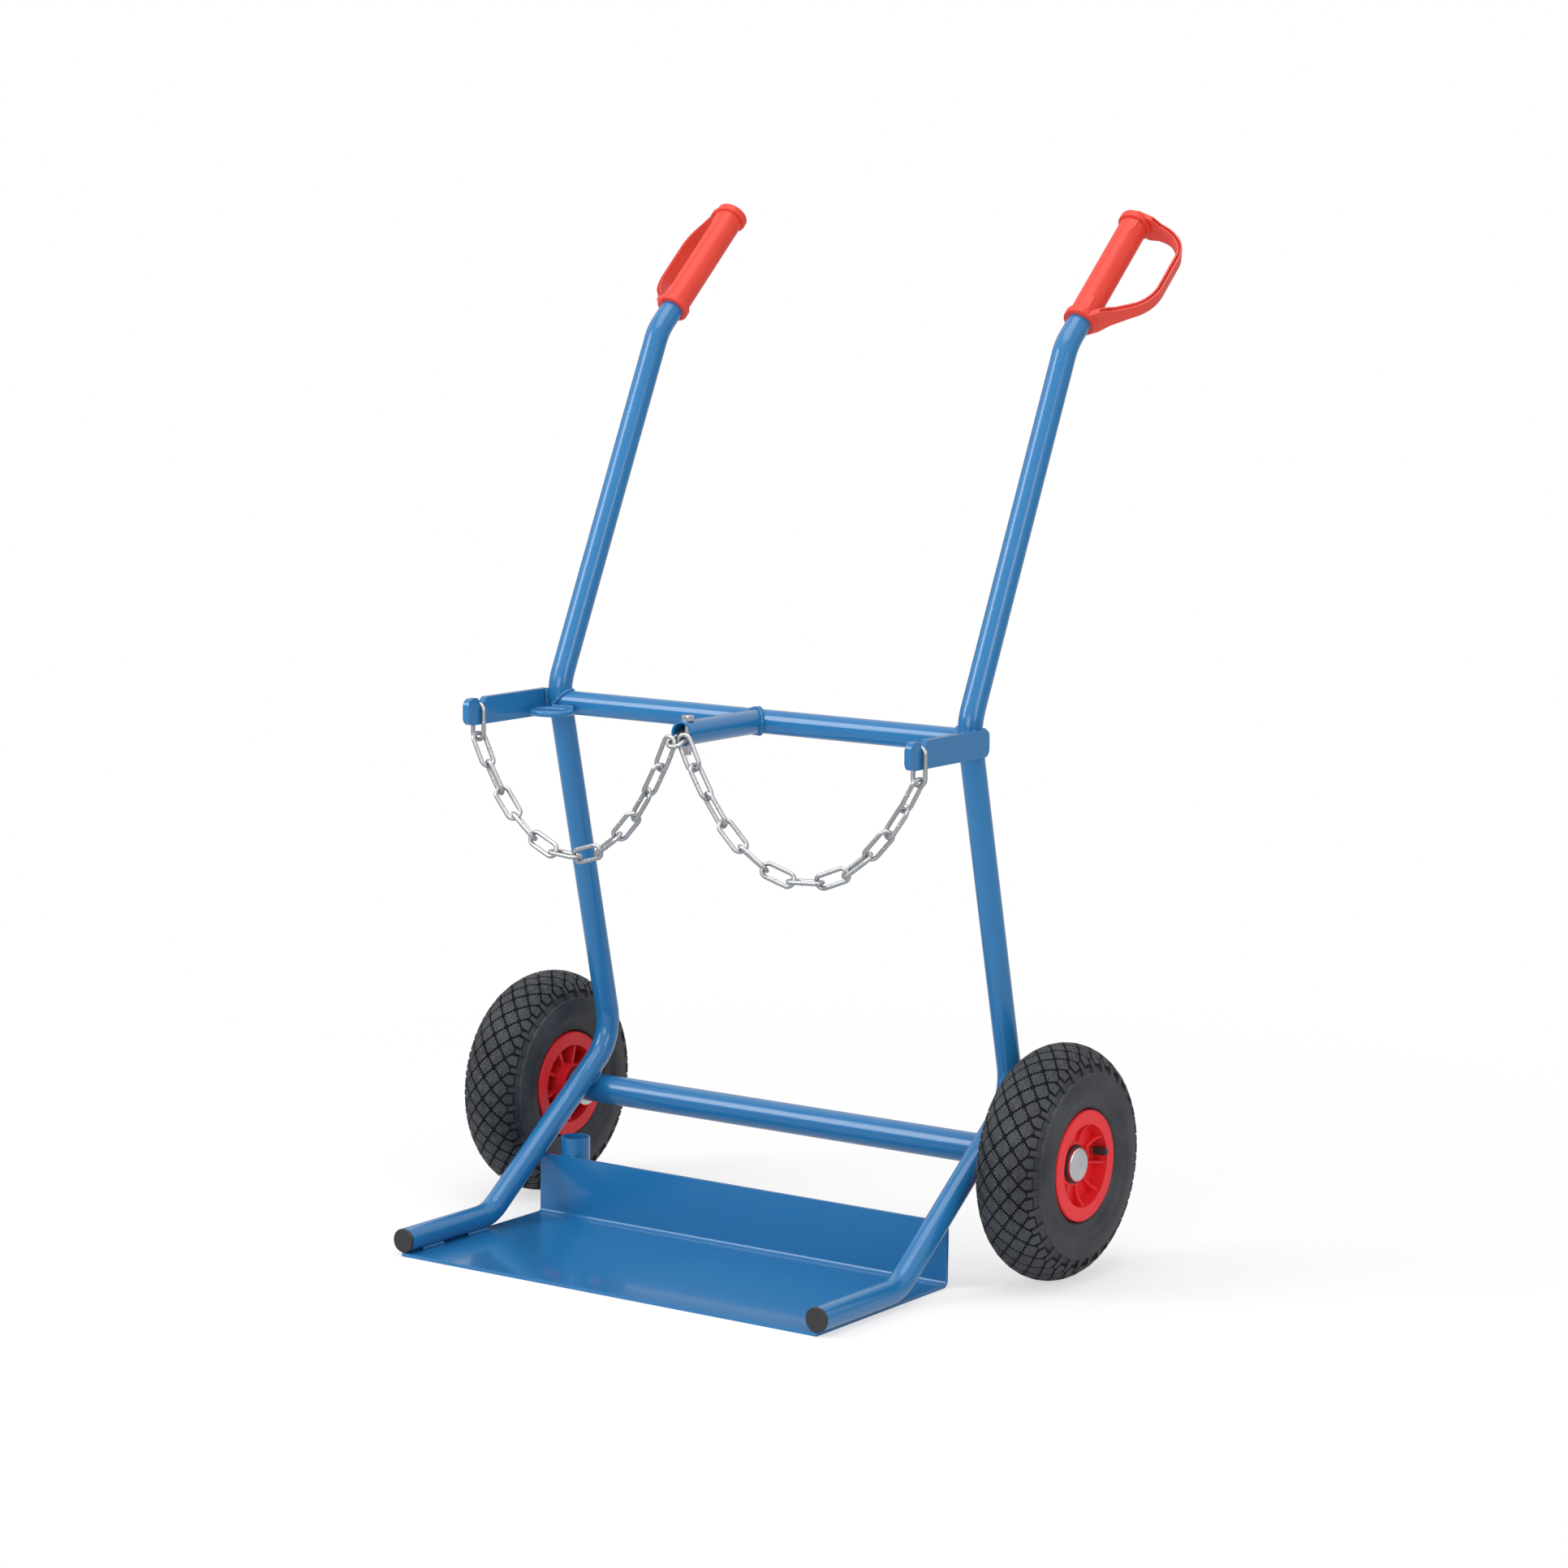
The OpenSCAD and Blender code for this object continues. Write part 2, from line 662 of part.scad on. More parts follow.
// Half of the rim section, [radius, axial], with rounded flange edges.
module rim_section() {
  w = rim_w / 2;
  translate([barrel_in, -w]) square([seat_r - barrel_in, rim_w]);
  for (s = [0, 1]) mirror([0, s]) {
    translate([barrel_in, flange_in]) square([rim_r - 2 - barrel_in, w - flange_in]);
    translate([barrel_in, flange_in]) square([rim_r - barrel_in, w - flange_in - 2]);
    translate([rim_r - 2, w - 2]) circle(r = 2);
  }
  translate([hub_d / 2 - 2, web_z - web_t]) square([barrel_in - hub_d / 2 + 4, web_t]);
  translate([bush_sleeve_r, -hub_in + bush_t])
    square([hub_d / 2 - bush_sleeve_r, hub_in + hub_out - 2 * bush_t]);
}

// A rib sweeps up from the end of the hub to the ring.
module rib() {
  low = hub_out - bush_t - 0.3;
  high = rim_w / 2 - 3;
  span = barrel_in - hub_d / 2 + 3;
  sweep = (pow(span, 2) + pow(high - low, 2)) / (2 * (high - low));
  rotate([90, 0, 0]) linear_extrude(height = rib_t, center = true) difference() {
    translate([hub_d / 2 - 1.5, 4 - rim_w / 2]) square([span, high + rim_w / 2 - 4]);
    translate([hub_d / 2 - 1.5, low + sweep]) circle(r = sweep, $fn = 180);
  }
}

module rim(s) {
  color(red) at_wheel(s) difference() {
    union() {
      rotate_extrude($fn = 128) rim_section();
      for (i = [0:rib_count - 1]) rotate([0, 0, 360 * (i + 0.5) / rib_count + 90 + valve_turn]) rib();
    }
    rotate([0, 0, 90 + valve_turn]) {
      translate([0, 0, valve_z]) rotate([0, 90, 0]) cylinder(d = 7, h = 60);
      translate([valve_r, 0, valve_z]) cylinder(d = 8, h = rim_w);
    }
  }
}

module left_rim() {
  rim(-1);
}

module right_rim() {
  rim(1);
}

// Foot of one side of the tyre: bead, then up over the rim flange into the side wall.
module tyre_foot() {
  play = 0.05;
  out = carcass_r - 0.5;
  in = cavity_r + 0.5;
  polygon([[seat_r + play, flange_in - bead_w], [rim_r + 2, flange_in - bead_w],
    [section_at - in * cos(foot_turn), in * sin(foot_turn)],
    [section_at - out * cos(foot_turn), out * sin(foot_turn)],
    [rim_r + play, flange_in - play], [seat_r + play, flange_in - play]]);
}

module tyre(s) {
  open_half = flange_in - bead_w + 0.2;
  color(black) at_wheel(s) rotate_extrude($fn = 160) {
    difference() {
      translate([section_at, 0]) circle(r = carcass_r, $fn = 96);
      translate([section_at, 0]) circle(r = cavity_r, $fn = 96);
      translate([0, -section_r]) square([rim_r + 1.5, tyre_w]);
      translate([0, -open_half]) square([section_at, 2 * open_half]);
    }
    for (e = [0, 1]) mirror([0, e]) {
      tyre_foot();
      translate([section_at + carcass_r * sin(15), carcass_r * cos(15)]) circle(r = 1.1, $fn = 24);
    }
    intersection() {
      difference() {
        translate([section_at, 0]) circle(r = section_r, $fn = 96);
        translate([section_at, 0]) circle(r = carcass_r - 1, $fn = 96);
      }
      translate([section_at + sqrt(pow(section_r, 2) - pow(tread_w / 2, 2)), -section_r])
        square([section_r, tyre_w]);
    }
  }
}

module left_tyre() {
  tyre(-1);
}

module right_tyre() {
  tyre(1);
}

module tube_room(r, g) {
  difference() {
    translate([section_at, 0]) circle(r = r, $fn = 96);
    for (e = [0, 1]) mirror([0, e])
      translate([0, flange_in - bead_w - g]) square([foot_top + g, section_r]);
    translate([0, -rim_w]) square([seat_r + g, 2 * rim_w]);
  }
}

module inner_tube(s) {
  r = cavity_r - 0.2;
  color([0.2, 0.2, 0.21]) at_wheel(s) rotate_extrude($fn = 128) difference() {
    tube_room(r, 0.2);
    tube_room(r - 2, 2.2);
  }
}

module left_inner_tube() {
  inner_tube(-1);
}

module right_inner_tube() {
  inner_tube(1);
}

// Two flanged bushes, one pressed into each end of the hub.
module hub_bushes(s) {
  color(black) at_wheel(s) for (e = [0, 1])
    translate([0, 0, e == 0 ? -hub_in : hub_out]) mirror([0, 0, e]) difference() {
      union() {
        cylinder(d = bush_d, h = bush_t - 0.02);
        cylinder(r = bush_sleeve_r - 0.02, h = 20);
      }
      translate([0, 0, -1]) cylinder(r = axle_d / 2 + run_fit, h = 30);
    }
}

module left_hub_bushes() {
  hub_bushes(-1);
}

module right_hub_bushes() {
  hub_bushes(1);
}

// Bent valve: through the rim toward the axle, then outward along it.
module valve_stem(s) {
  color(brass) at_wheel(s) rotate([0, 0, 90 + valve_turn]) {
    translate([valve_r + 4, 0, valve_z]) rotate([0, 90, 0]) cylinder(d = 6.5, h = seat_r - valve_r - 4);
    translate([valve_r + 4, 0, valve_z + 4]) rotate([90, 0, 0]) rotate([0, 0, 180])
      rotate_extrude(angle = 90) translate([4, 0]) circle(d = 6.5);
    translate([valve_r, 0, valve_z + 4]) cylinder(d = 6.5, h = valve_top - valve_z - 4);
    translate([valve_r, 0, valve_top - 1]) cylinder(d = 5, h = 8);
  }
}

module left_valve_stem() {
  valve_stem(-1);
}

module right_valve_stem() {
  valve_stem(1);
}

module valve_cap(s) {
  color(black) at_wheel(s) rotate([0, 0, 90 + valve_turn]) translate([valve_r, 0, valve_top + 0.1])
    difference() {
      rotate_extrude() {
        square([4.4, 14]);
        square([3.2, 15.5]);
      }
      translate([0, 0, -1]) cylinder(d = 5 + 2 * push_fit, h = 8.2);
    }
}

module left_valve_cap() {
  valve_cap(-1);
}

module right_valve_cap() {
  valve_cap(1);
}

left_side_tube();
right_side_tube();
cross_tube();
centre_stub();
axle_tube();
axle();
toe_plate();
left_hook_plate();
right_hook_plate();
rod_ring();
rod_cup();
left_tube_plug();
right_tube_plug();
left_grip();
right_grip();
stub_bolt();
stub_nut();
anchor_link();
left_chain();
right_chain();
left_axle_collar();
right_axle_collar();
left_hub_cap();
right_hub_cap();
left_rim();
right_rim();
left_tyre();
right_tyre();
left_inner_tube();
right_inner_tube();
left_hub_bushes();
right_hub_bushes();
left_valve_stem();
right_valve_stem();
left_valve_cap();
right_valve_cap();
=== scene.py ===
# %% [markdown]
# A trolley for two gas cylinders, dressed for its picture.
# The tubes, plates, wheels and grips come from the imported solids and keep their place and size.
# This script adds what solids are poor at: tread, chain wire, weld beads, finishes, light and camera.

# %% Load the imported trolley
import json
import math

import bmesh
import bpy
from mathutils import Matrix, Vector


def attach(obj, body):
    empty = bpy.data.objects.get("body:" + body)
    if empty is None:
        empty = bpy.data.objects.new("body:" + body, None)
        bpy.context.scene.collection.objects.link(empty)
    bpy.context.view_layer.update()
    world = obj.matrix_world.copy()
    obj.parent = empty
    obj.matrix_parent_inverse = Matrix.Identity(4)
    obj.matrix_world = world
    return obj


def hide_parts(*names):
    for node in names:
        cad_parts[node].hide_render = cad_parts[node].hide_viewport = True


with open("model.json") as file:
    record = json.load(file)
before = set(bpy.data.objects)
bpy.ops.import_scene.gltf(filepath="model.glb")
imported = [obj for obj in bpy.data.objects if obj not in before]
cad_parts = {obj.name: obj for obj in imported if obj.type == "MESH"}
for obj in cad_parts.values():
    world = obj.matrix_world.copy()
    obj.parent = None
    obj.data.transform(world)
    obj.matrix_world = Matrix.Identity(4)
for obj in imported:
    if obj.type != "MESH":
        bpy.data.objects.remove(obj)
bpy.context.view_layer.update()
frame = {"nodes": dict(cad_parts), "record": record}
scene = bpy.context.scene
nodes = frame["nodes"]

# %% [markdown]
# The camera comes first, because everything is judged through it.
# Its place was solved from the wheels, tubes and toe plate together.
# The picture is a square crop, so a small shift moves the optical centre instead of turning the camera.

# %% Camera
AZIMUTH, ELEVATION, ROLL = math.radians(34.62), math.radians(7.5), math.radians(0.68)
AIM, DISTANCE = Vector((0, -0.06, 0.56)), 4.7722
IMAGE, FOCAL, CENTRE, SENSOR = 1932, 5311.74, (944.43, 920.88), 36

flat = math.cos(ELEVATION)
back = Vector((math.sin(AZIMUTH) * flat, -math.cos(AZIMUTH) * flat, math.sin(ELEVATION)))
level = Vector((math.cos(AZIMUTH), math.sin(AZIMUTH), 0))
above = back.cross(level)
right = level * math.cos(ROLL) + above * math.sin(ROLL)
up = above * math.cos(ROLL) - level * math.sin(ROLL)
camera = bpy.data.objects.new("camera", bpy.data.cameras.new("camera"))
scene.collection.objects.link(camera)
place = Matrix((right, up, back)).transposed().to_4x4()
place.translation = AIM + DISTANCE * back
camera.matrix_world = place
camera.data.sensor_width = SENSOR
camera.data.lens = SENSOR * FOCAL / IMAGE
camera.data.shift_x = (IMAGE / 2 - CENTRE[0]) / IMAGE
camera.data.shift_y = (CENTRE[1] - IMAGE / 2) / IMAGE
camera.data.clip_end = 60
scene.camera = camera
print("camera at", [round(v, 3) for v in place.translation], "lens", round(camera.data.lens, 2))

# %% [markdown]
# Finishes, light and repeated pieces are all trees of nodes. A node takes three chores: make it, set its
# options, and set its inputs or plug them into other nodes. One helper does all three, so each tree
# below reads as a list of what it does.

# %% Node helper
def add(tree, kind, sockets=(), **settings):
    """A node with its settings made; sockets maps an input's name or number to a value or another output."""
    made = tree.nodes.new(kind)
    for key, value in settings.items():
        setattr(made, key, value)
    for key, value in dict(sockets).items():
        if isinstance(value, bpy.types.NodeSocket):
            tree.links.new(value, made.inputs[key])
        else:
            made.inputs[key].default_value = value
    return made


# %% [markdown]
# Every finish is a small shader tree: a base colour that wanders a little, a roughness that wanders too,
# and a fine bump for the skin of the material. One helper wires that pattern, and each finish gives its own
# numbers, because paint, plastic, rubber and plating differ in scale more than in kind.

# %% Shader helper
SKIN_DEPTH = 0.00001


def shader(name, colours, patch, rough, grain, bump, metallic=0.0, **sockets):
    """A finish: two close colours mixed in patches, a roughness range and a fine bump."""
    mat = bpy.data.materials.new(name)
    mat.use_nodes = True
    tree = mat.node_tree
    surface = tree.nodes["Principled BSDF"]
    surface.inputs["Metallic"].default_value = metallic
    for label, value in sockets.items():
        surface.inputs[label.replace("_", " ")].default_value = value
    where = add(tree, "ShaderNodeTexCoord").outputs["Object"]
    blotch = add(tree, "ShaderNodeTexNoise", {"Vector": where, "Scale": patch, "Detail": 4}).outputs["Fac"]
    tint = add(tree, "ShaderNodeValToRGB", {"Fac": blotch})
    for stop, at, colour in zip(tint.color_ramp.elements, (0.3, 0.7), colours):
        stop.position, stop.color = at, (*colour, 1)
    sheen = add(tree, "ShaderNodeMapRange", {"Value": blotch, "To Min": rough[0], "To Max": rough[1]})
    skin = add(tree, "ShaderNodeTexNoise", {"Vector": where, "Scale": grain, "Detail": 2}).outputs["Fac"]
    relief = add(tree, "ShaderNodeBump", {"Height": skin, "Strength": bump, "Distance": SKIN_DEPTH})
    tree.links.new(tint.outputs["Color"], surface.inputs["Base Color"])
    tree.links.new(sheen.outputs["Result"], surface.inputs["Roughness"])
    tree.links.new(relief.outputs["Normal"], surface.inputs["Normal"])
    return mat


# %% [markdown]
# Blue powder coat: glossy, with the faint orange-peel skin that baked powder always has.
# The two blues are so close that only large flat faces show them drifting.
# The red plastics are two reds: an orange one, satin, on the grips, and a deeper one on the moulded rims.

# %% Paint and plastics
blue_paint = shader("blue_paint", [(0.013, 0.152, 0.370), (0.017, 0.164, 0.390)], 2.5, (0.22, 0.30), 420, 0.5,
                    Specular_IOR_Level=0.25, Coat_Weight=0.6, Coat_Roughness=0.08)
red_grip = shader("red_grip", [(0.690, 0.047, 0.028), (0.730, 0.056, 0.034)], 18, (0.36, 0.46), 1600, 0.2,
                  Specular_IOR_Level=0.35)
red_rim = shader("red_rim", [(0.770, 0.018, 0.026), (0.820, 0.026, 0.034)], 22, (0.32, 0.42), 900, 0.3,
                 Specular_IOR_Level=0.3)
black_plastic = shader("black_plastic", [(0.018, 0.019, 0.021), (0.026, 0.027, 0.030)],
                       30, (0.42, 0.55), 1500, 0.4)
print("finishes:", blue_paint.name, red_grip.name, red_rim.name, black_plastic.name)

# %% [markdown]
# Bright zinc on the fasteners and chain is a metal with a cloudy roughness, which breaks up its reflections.
# The chain's zinc is duller, so that its thin wire still stands out from a white background.
# Brass is only on the two valve stems. Rubber is matt, and slightly paler where the mould release dried on it.
# The floor of the tread grooves has a near-black material of its own: painted shade, standing in for the shadow
# deep in the grooves.

# %% Metals and rubber
zinc = shader("zinc", [(0.62, 0.63, 0.66), (0.72, 0.73, 0.76)], 45, (0.24, 0.36), 700, 0.2, metallic=1.0)
chain_zinc = shader("chain_zinc", [(0.47, 0.475, 0.485), (0.56, 0.565, 0.575)],
                    45, (0.32, 0.42), 800, 0.2, metallic=1.0)
brass = shader("brass", [(0.56, 0.36, 0.12), (0.64, 0.43, 0.17)], 120, (0.25, 0.38), 900, 0.3, metallic=1.0)
rubber = shader("rubber", [(0.014, 0.017, 0.022), (0.043, 0.048, 0.057)], 18, (0.46, 0.60), 900, 0.9)
# Painted shade: near-black rubber on the groove floors, for the shadow that falls deep in the grooves.
painted_groove_shade = shader("painted_groove_shade", [(0.004, 0.004, 0.005), (0.008, 0.008, 0.009)],
                       60, (0.75, 0.85), 900, 0.9)
print("metals and rubber:", zinc.name, chain_zinc.name, brass.name, rubber.name, painted_groove_shade.name)

# %% [markdown]
# The solids arrive without a finish, but each has the name of a slot in its record. A table from slot to
# finish dresses them all in one loop, so a new solid needs no new line here.

# %% Hand the finishes to the solids
FINISH_OF_SLOT = {"blue_paint": blue_paint, "zinc": zinc, "chain_zinc": chain_zinc, "red_grip": red_grip,
                  "red_rim": red_rim, "black_plastic": black_plastic, "tyre": rubber, "inner_rubber": rubber,
                  "brass": brass}
for entry in frame["record"]["subparts"]:
    solid = nodes[entry["node"]]
    solid.data.materials.clear()
    solid.data.materials.append(FINISH_OF_SLOT[entry["material_slot"]])


# %% [markdown]
# The repeated pieces are grown by Geometry Nodes. One helper starts a tree with named inputs, and one runs
# a tree on a mesh and keeps the plain result, because an exported model can't carry a live modifier.
# A third turns a drawing made with bmesh into a mesh.

# %% Mesh and Geometry Nodes helpers
def plain_mesh(name, bm):
    """The mesh of a finished bmesh drawing."""
    mesh = bpy.data.meshes.new(name)
    bm.to_mesh(mesh)
    bm.free()
    return mesh


def start_tree(name, inputs):
    """A new tree with a Geometry input and output and the named size inputs."""
    tree = bpy.data.node_groups.new(name, "GeometryNodeTree")
    tree.interface.new_socket("Geometry", in_out="INPUT", socket_type="NodeSocketGeometry")
    for label, kind, value in inputs:
        tree.interface.new_socket(label, in_out="INPUT", socket_type="NodeSocket" + kind).default_value = value
    tree.interface.new_socket("Geometry", in_out="OUTPUT", socket_type="NodeSocketGeometry")
    return tree, tree.nodes.new("NodeGroupInput").outputs, tree.nodes.new("NodeGroupOutput").inputs


def grow(name, mesh, tree, values=()):
    """Runs a tree on a mesh and returns the result as a plain object at the origin."""
    seed = bpy.data.objects.new(name, mesh)
    scene.collection.objects.link(seed)
    modifier = seed.modifiers.new(tree.name, "NODES")
    modifier.node_group = tree
    labels = {item.name: item.identifier for item in tree.interface.items_tree if item.in_out == "INPUT"}
    for label, value in dict(values).items():
        modifier[labels[label]] = value
    seen = bpy.context.evaluated_depsgraph_get()
    plain = bpy.data.meshes.new_from_object(seed.evaluated_get(seen), depsgraph=seen)
    seed.modifiers.clear()
    seed.data = plain
    plain.name = name
    return seed


# %% [markdown]
# Sizes of the frame that the added pieces sit on, in millimetres, as the solids have them.
# The bent side tube is kept as a centre line of points, so that a weld can ask how far it is from the tube.

# %% Frame sizes
MM = 0.001
TUBE_R, SIDE_X, BEND_R = 13.45, 275.0, 55.0
WHEEL_X, AXLE_Z, AXLE_TUBE_R = 349.0, 130.0, 16.85
CROSS_Y, CROSS_Z = -75.427, 591.086
SIDE_CORNERS = [(-353.60, 17.60), (-203.60, 17.60), (25.454, 186.473),
                (-79.540, 607.581), (107.257, 1008.170), (252.170, 1138.650)]


def centre_line(step=1.5):
    """Points along the bent tube's centre line in its upright plane, with the bends rounded."""
    line = [Vector(c) for c in SIDE_CORNERS]
    path = [line[0]]
    for before, here, after in zip(line, line[1:], line[2:]):
        a, b = (before - here).normalized(), (after - here).normalized()
        half = math.acos(max(-1, min(1, a.dot(b)))) / 2
        middle = here + (a + b).normalized() * BEND_R / math.sin(half)
        start, stop = here + a * BEND_R / math.tan(half), here + b * BEND_R / math.tan(half)
        for k in range(13):
            spoke = (start - middle).lerp(stop - middle, k / 12).normalized()
            path.append(middle + spoke * BEND_R)
    path.append(line[-1])
    dense = []
    for a, b in zip(path, path[1:]):
        count = max(1, int((b - a).length / step))
        dense += [a.lerp(b, k / count) for k in range(count)]
    return dense


tube_line = centre_line()
print("centre line points:", len(tube_line))

# %% [markdown]
# A tyre casing is a lathe job: one closed outline of the rubber, spun about the axle.
# The outline is drawn in polar form about the middle of the section, so the fine rings on the sidewall are
# just small bumps on the radius. The lean is the angle from the middle of the tread, in degrees.
# The tread grooves show this casing at their floor, which gets a near-black painted shade as far out as the
# shoulder.

# %% Tyre casing
SECTION_AT, SECTION_R = 87.5, 42.5
GROOVE, SIDEWALL_SET = 3.2, 1.2
# The first number is the lean, in degrees, up to which the groove floor gets the painted shade.
GROOVE_SHADE_TO, TREAD_EDGE, LIP = 60, 69, 126
RINGS = ((71, 1.1, 0.9), (96, 0.9, 0.6), (99.5, 0.9, 0.5), (121, 2.0, 1.0))
DIP_AT, DIP_WIDE, DIP_DEEP = 110, 8, 2.2
BEAD = [(26.9, 61.3), (26.9, 51.0), (19.8, 51.0), (19.8, 59.0)]
LINING_R, LINING_LIP = 35, 135
SKIN_STEPS, LINING_STEPS, SPIN_STEPS = 210, 60, 120


def casing_radius(lean):
    """Distance of the casing's skin from the middle of the section, with its rings and its dip."""
    a = abs(lean)
    skin = SECTION_R - (GROOVE if a < TREAD_EDGE else SIDEWALL_SET)
    for at, wide, high in RINGS:
        skin += high * math.exp(-((a - at) / wide) ** 2)
    return skin - DIP_DEEP * math.exp(-((a - DIP_AT) / DIP_WIDE) ** 2)


def casing_outline():
    """The closed section of the rubber as (distance along the axle, distance from it)."""
    outline = []
    for k in range(SKIN_STEPS + 1):
        t = math.radians(-LIP + 2 * LIP * k / SKIN_STEPS)
        reach = casing_radius(math.degrees(t))
        outline.append((reach * math.sin(t), SECTION_AT + reach * math.cos(t)))
    outline += BEAD
    for k in range(LINING_STEPS + 1):
        t = math.radians(LINING_LIP - 2 * LINING_LIP * k / LINING_STEPS)
        outline.append((LINING_R * math.sin(t), SECTION_AT + LINING_R * math.cos(t)))
    return outline + [(-x, r) for x, r in reversed(BEAD)]


def spin_casing(side):
    """The outline spun about one wheel's axle. The floor of the grooves takes the second material, a painted
    shade.
    """
    outline, groove_shade_edge = casing_outline(), math.radians(GROOVE_SHADE_TO)
    rings = []
    bm = bmesh.new()
    for k in range(SPIN_STEPS):
        turn = 2 * math.pi * k / SPIN_STEPS
        spots = [(side * WHEEL_X + x, r * math.cos(turn), AXLE_Z + r * math.sin(turn)) for x, r in outline]
        rings.append([bm.verts.new(Vector(p) * MM) for p in spots])
    for a, b in zip(rings, rings[1:] + rings[:1]):
        for k, (x, r) in enumerate(outline):
            n = (k + 1) % len(outline)
            face = bm.faces.new((a[k], a[n], b[n], b[k]))
            face.smooth = True
            # Groove-floor faces inside that lean get the second material, the painted shade.
            face.material_index = int(r > SECTION_AT and math.atan2(abs(x), r - SECTION_AT) < groove_shade_edge)
    bmesh.ops.recalc_face_normals(bm, faces=bm.faces)
    return plain_mesh("casing", bm)


print("casing outline points:", len(casing_outline()))

# %% [markdown]
# The tread is a lattice of rhombic blocks with toothed edges. Each block is drawn once on a flat strip,
# where across is the axle's direction and along is the rolling direction. The tree sets out staggered rows of
# blocks on that strip, joins them and then bends the whole strip round the section and round the wheel.
# Bending after joining keeps every groove the same width, which placing flat blocks on a curve would not.

# %% Tread block
ROUND, ROWS, ROW_STEP = 32, 6, 10.6
PITCH = 2 * math.pi * (SECTION_AT + SECTION_R) / ROUND
BLOCK_SHARE, BLOCK_TAPER = 0.955, 0.98
EDGE_POINTS, NOTCH = 8, 1.35
BLOCK_FOOT, BLOCK_TOPS, BLOCK_CROWN = -3.6, (0, -0.75), -0.25


def tread_block():
    """One rhombic block with four notches in each edge, as a closed mesh on the flat strip."""
    tips = [Vector((PITCH / 2, 0)), Vector((0, ROW_STEP)), Vector((-PITCH / 2, 0)), Vector((0, -ROW_STEP))]
    tips = [t * BLOCK_SHARE for t in tips]
    outline = []
    for a, b in zip(tips, tips[1:] + tips[:1]):
        inward = -(a + b).normalized()
        for k in range(EDGE_POINTS):
            outline.append(a.lerp(b, k / EDGE_POINTS) + inward * NOTCH * (k % 2))
    bm = bmesh.new()
    foot = [bm.verts.new((p.x * MM, p.y * MM, BLOCK_FOOT * MM)) for p in outline]
    top = [bm.verts.new((p.x * BLOCK_TAPER * MM, p.y * BLOCK_TAPER * MM, BLOCK_TOPS[k % 2] * MM))
           for k, p in enumerate(outline)]
    crown = bm.verts.new((0, 0, BLOCK_CROWN * MM))
    for k in range(len(outline)):
        n = (k + 1) % len(outline)
        bm.faces.new((foot[k], foot[n], top[n], top[k]))
        bm.faces.new((top[k], top[n], crown))
    bm.faces.new(list(reversed(foot)))
    return plain_mesh("tread_block", bm)


print("tread pitch:", round(PITCH, 2), "mm, blocks on each tyre:", ROUND * ROWS)

# %% [markdown]
# On each shoulder, plain bars run out from the tips of the last diamonds to the sidewall, and a pointed lug
# stands between every two bars with a pocket behind it. The pocket is dark from its depth, and its inner part
# also from the painted groove shade on the casing floor. Bar and lug are drawn as one pair on the same
# strip, so they need only their own outlines and a second setting out: two rows, one for each side of the tyre.

# %% Shoulder bar and lug
SHOULDER_LEAN = math.radians(53)
SHOULDER_STEP = 2 * SHOULDER_LEAN * SECTION_R
SHOULDER_FOOT = -3.8
BAR = [(-2.8, -3.6), (2.8, -3.6), (3.4, 4), (4.4, 12.6), (-4.4, 12.6), (-3.4, 4)]
LUG = [(0, -11.4), (5.8, -6.2), (6.2, 1.8), (-6.2, 1.8), (-5.8, -6.2)]


def shoulder_top(y):
    """Height of a bar or lug over the strip: level inside, sloping down outward."""
    return 0.2 - 0.006 * max(0, y + 4) ** 2


def shoulder_pair():
    """A bar on its row and a lug half a pitch along; outward is +Y."""
    bm = bmesh.new()
    for outline in (BAR, [(PITCH / 2 + x, y) for x, y in LUG]):
        low = [bm.verts.new((x * MM, y * MM, SHOULDER_FOOT * MM)) for x, y in outline]
        top = [bm.verts.new((x * MM, y * MM, shoulder_top(y) * MM)) for x, y in outline]
        for k in range(len(outline)):
            n = (k + 1) % len(outline)
            bm.faces.new((low[k], low[n], top[n], top[k]))
        bm.faces.new(list(reversed(low)))
        bm.faces.new(top)
    bmesh.ops.triangulate(bm, faces=[f for f in bm.faces if len(f.verts) > 4])
    return plain_mesh("shoulder_pair", bm)


print("shoulder rows are", round(SHOULDER_STEP, 1), "mm apart on the strip")


# %% [markdown]
# One tree serves both the diamonds and the shoulders. A point for every block comes from its number: the row
# is the number divided by the blocks in a row, and odd rows start half a pitch along. The second half of the tree
# reads each corner of the flat strip as an angle round the wheel, a lean across the section and a height.

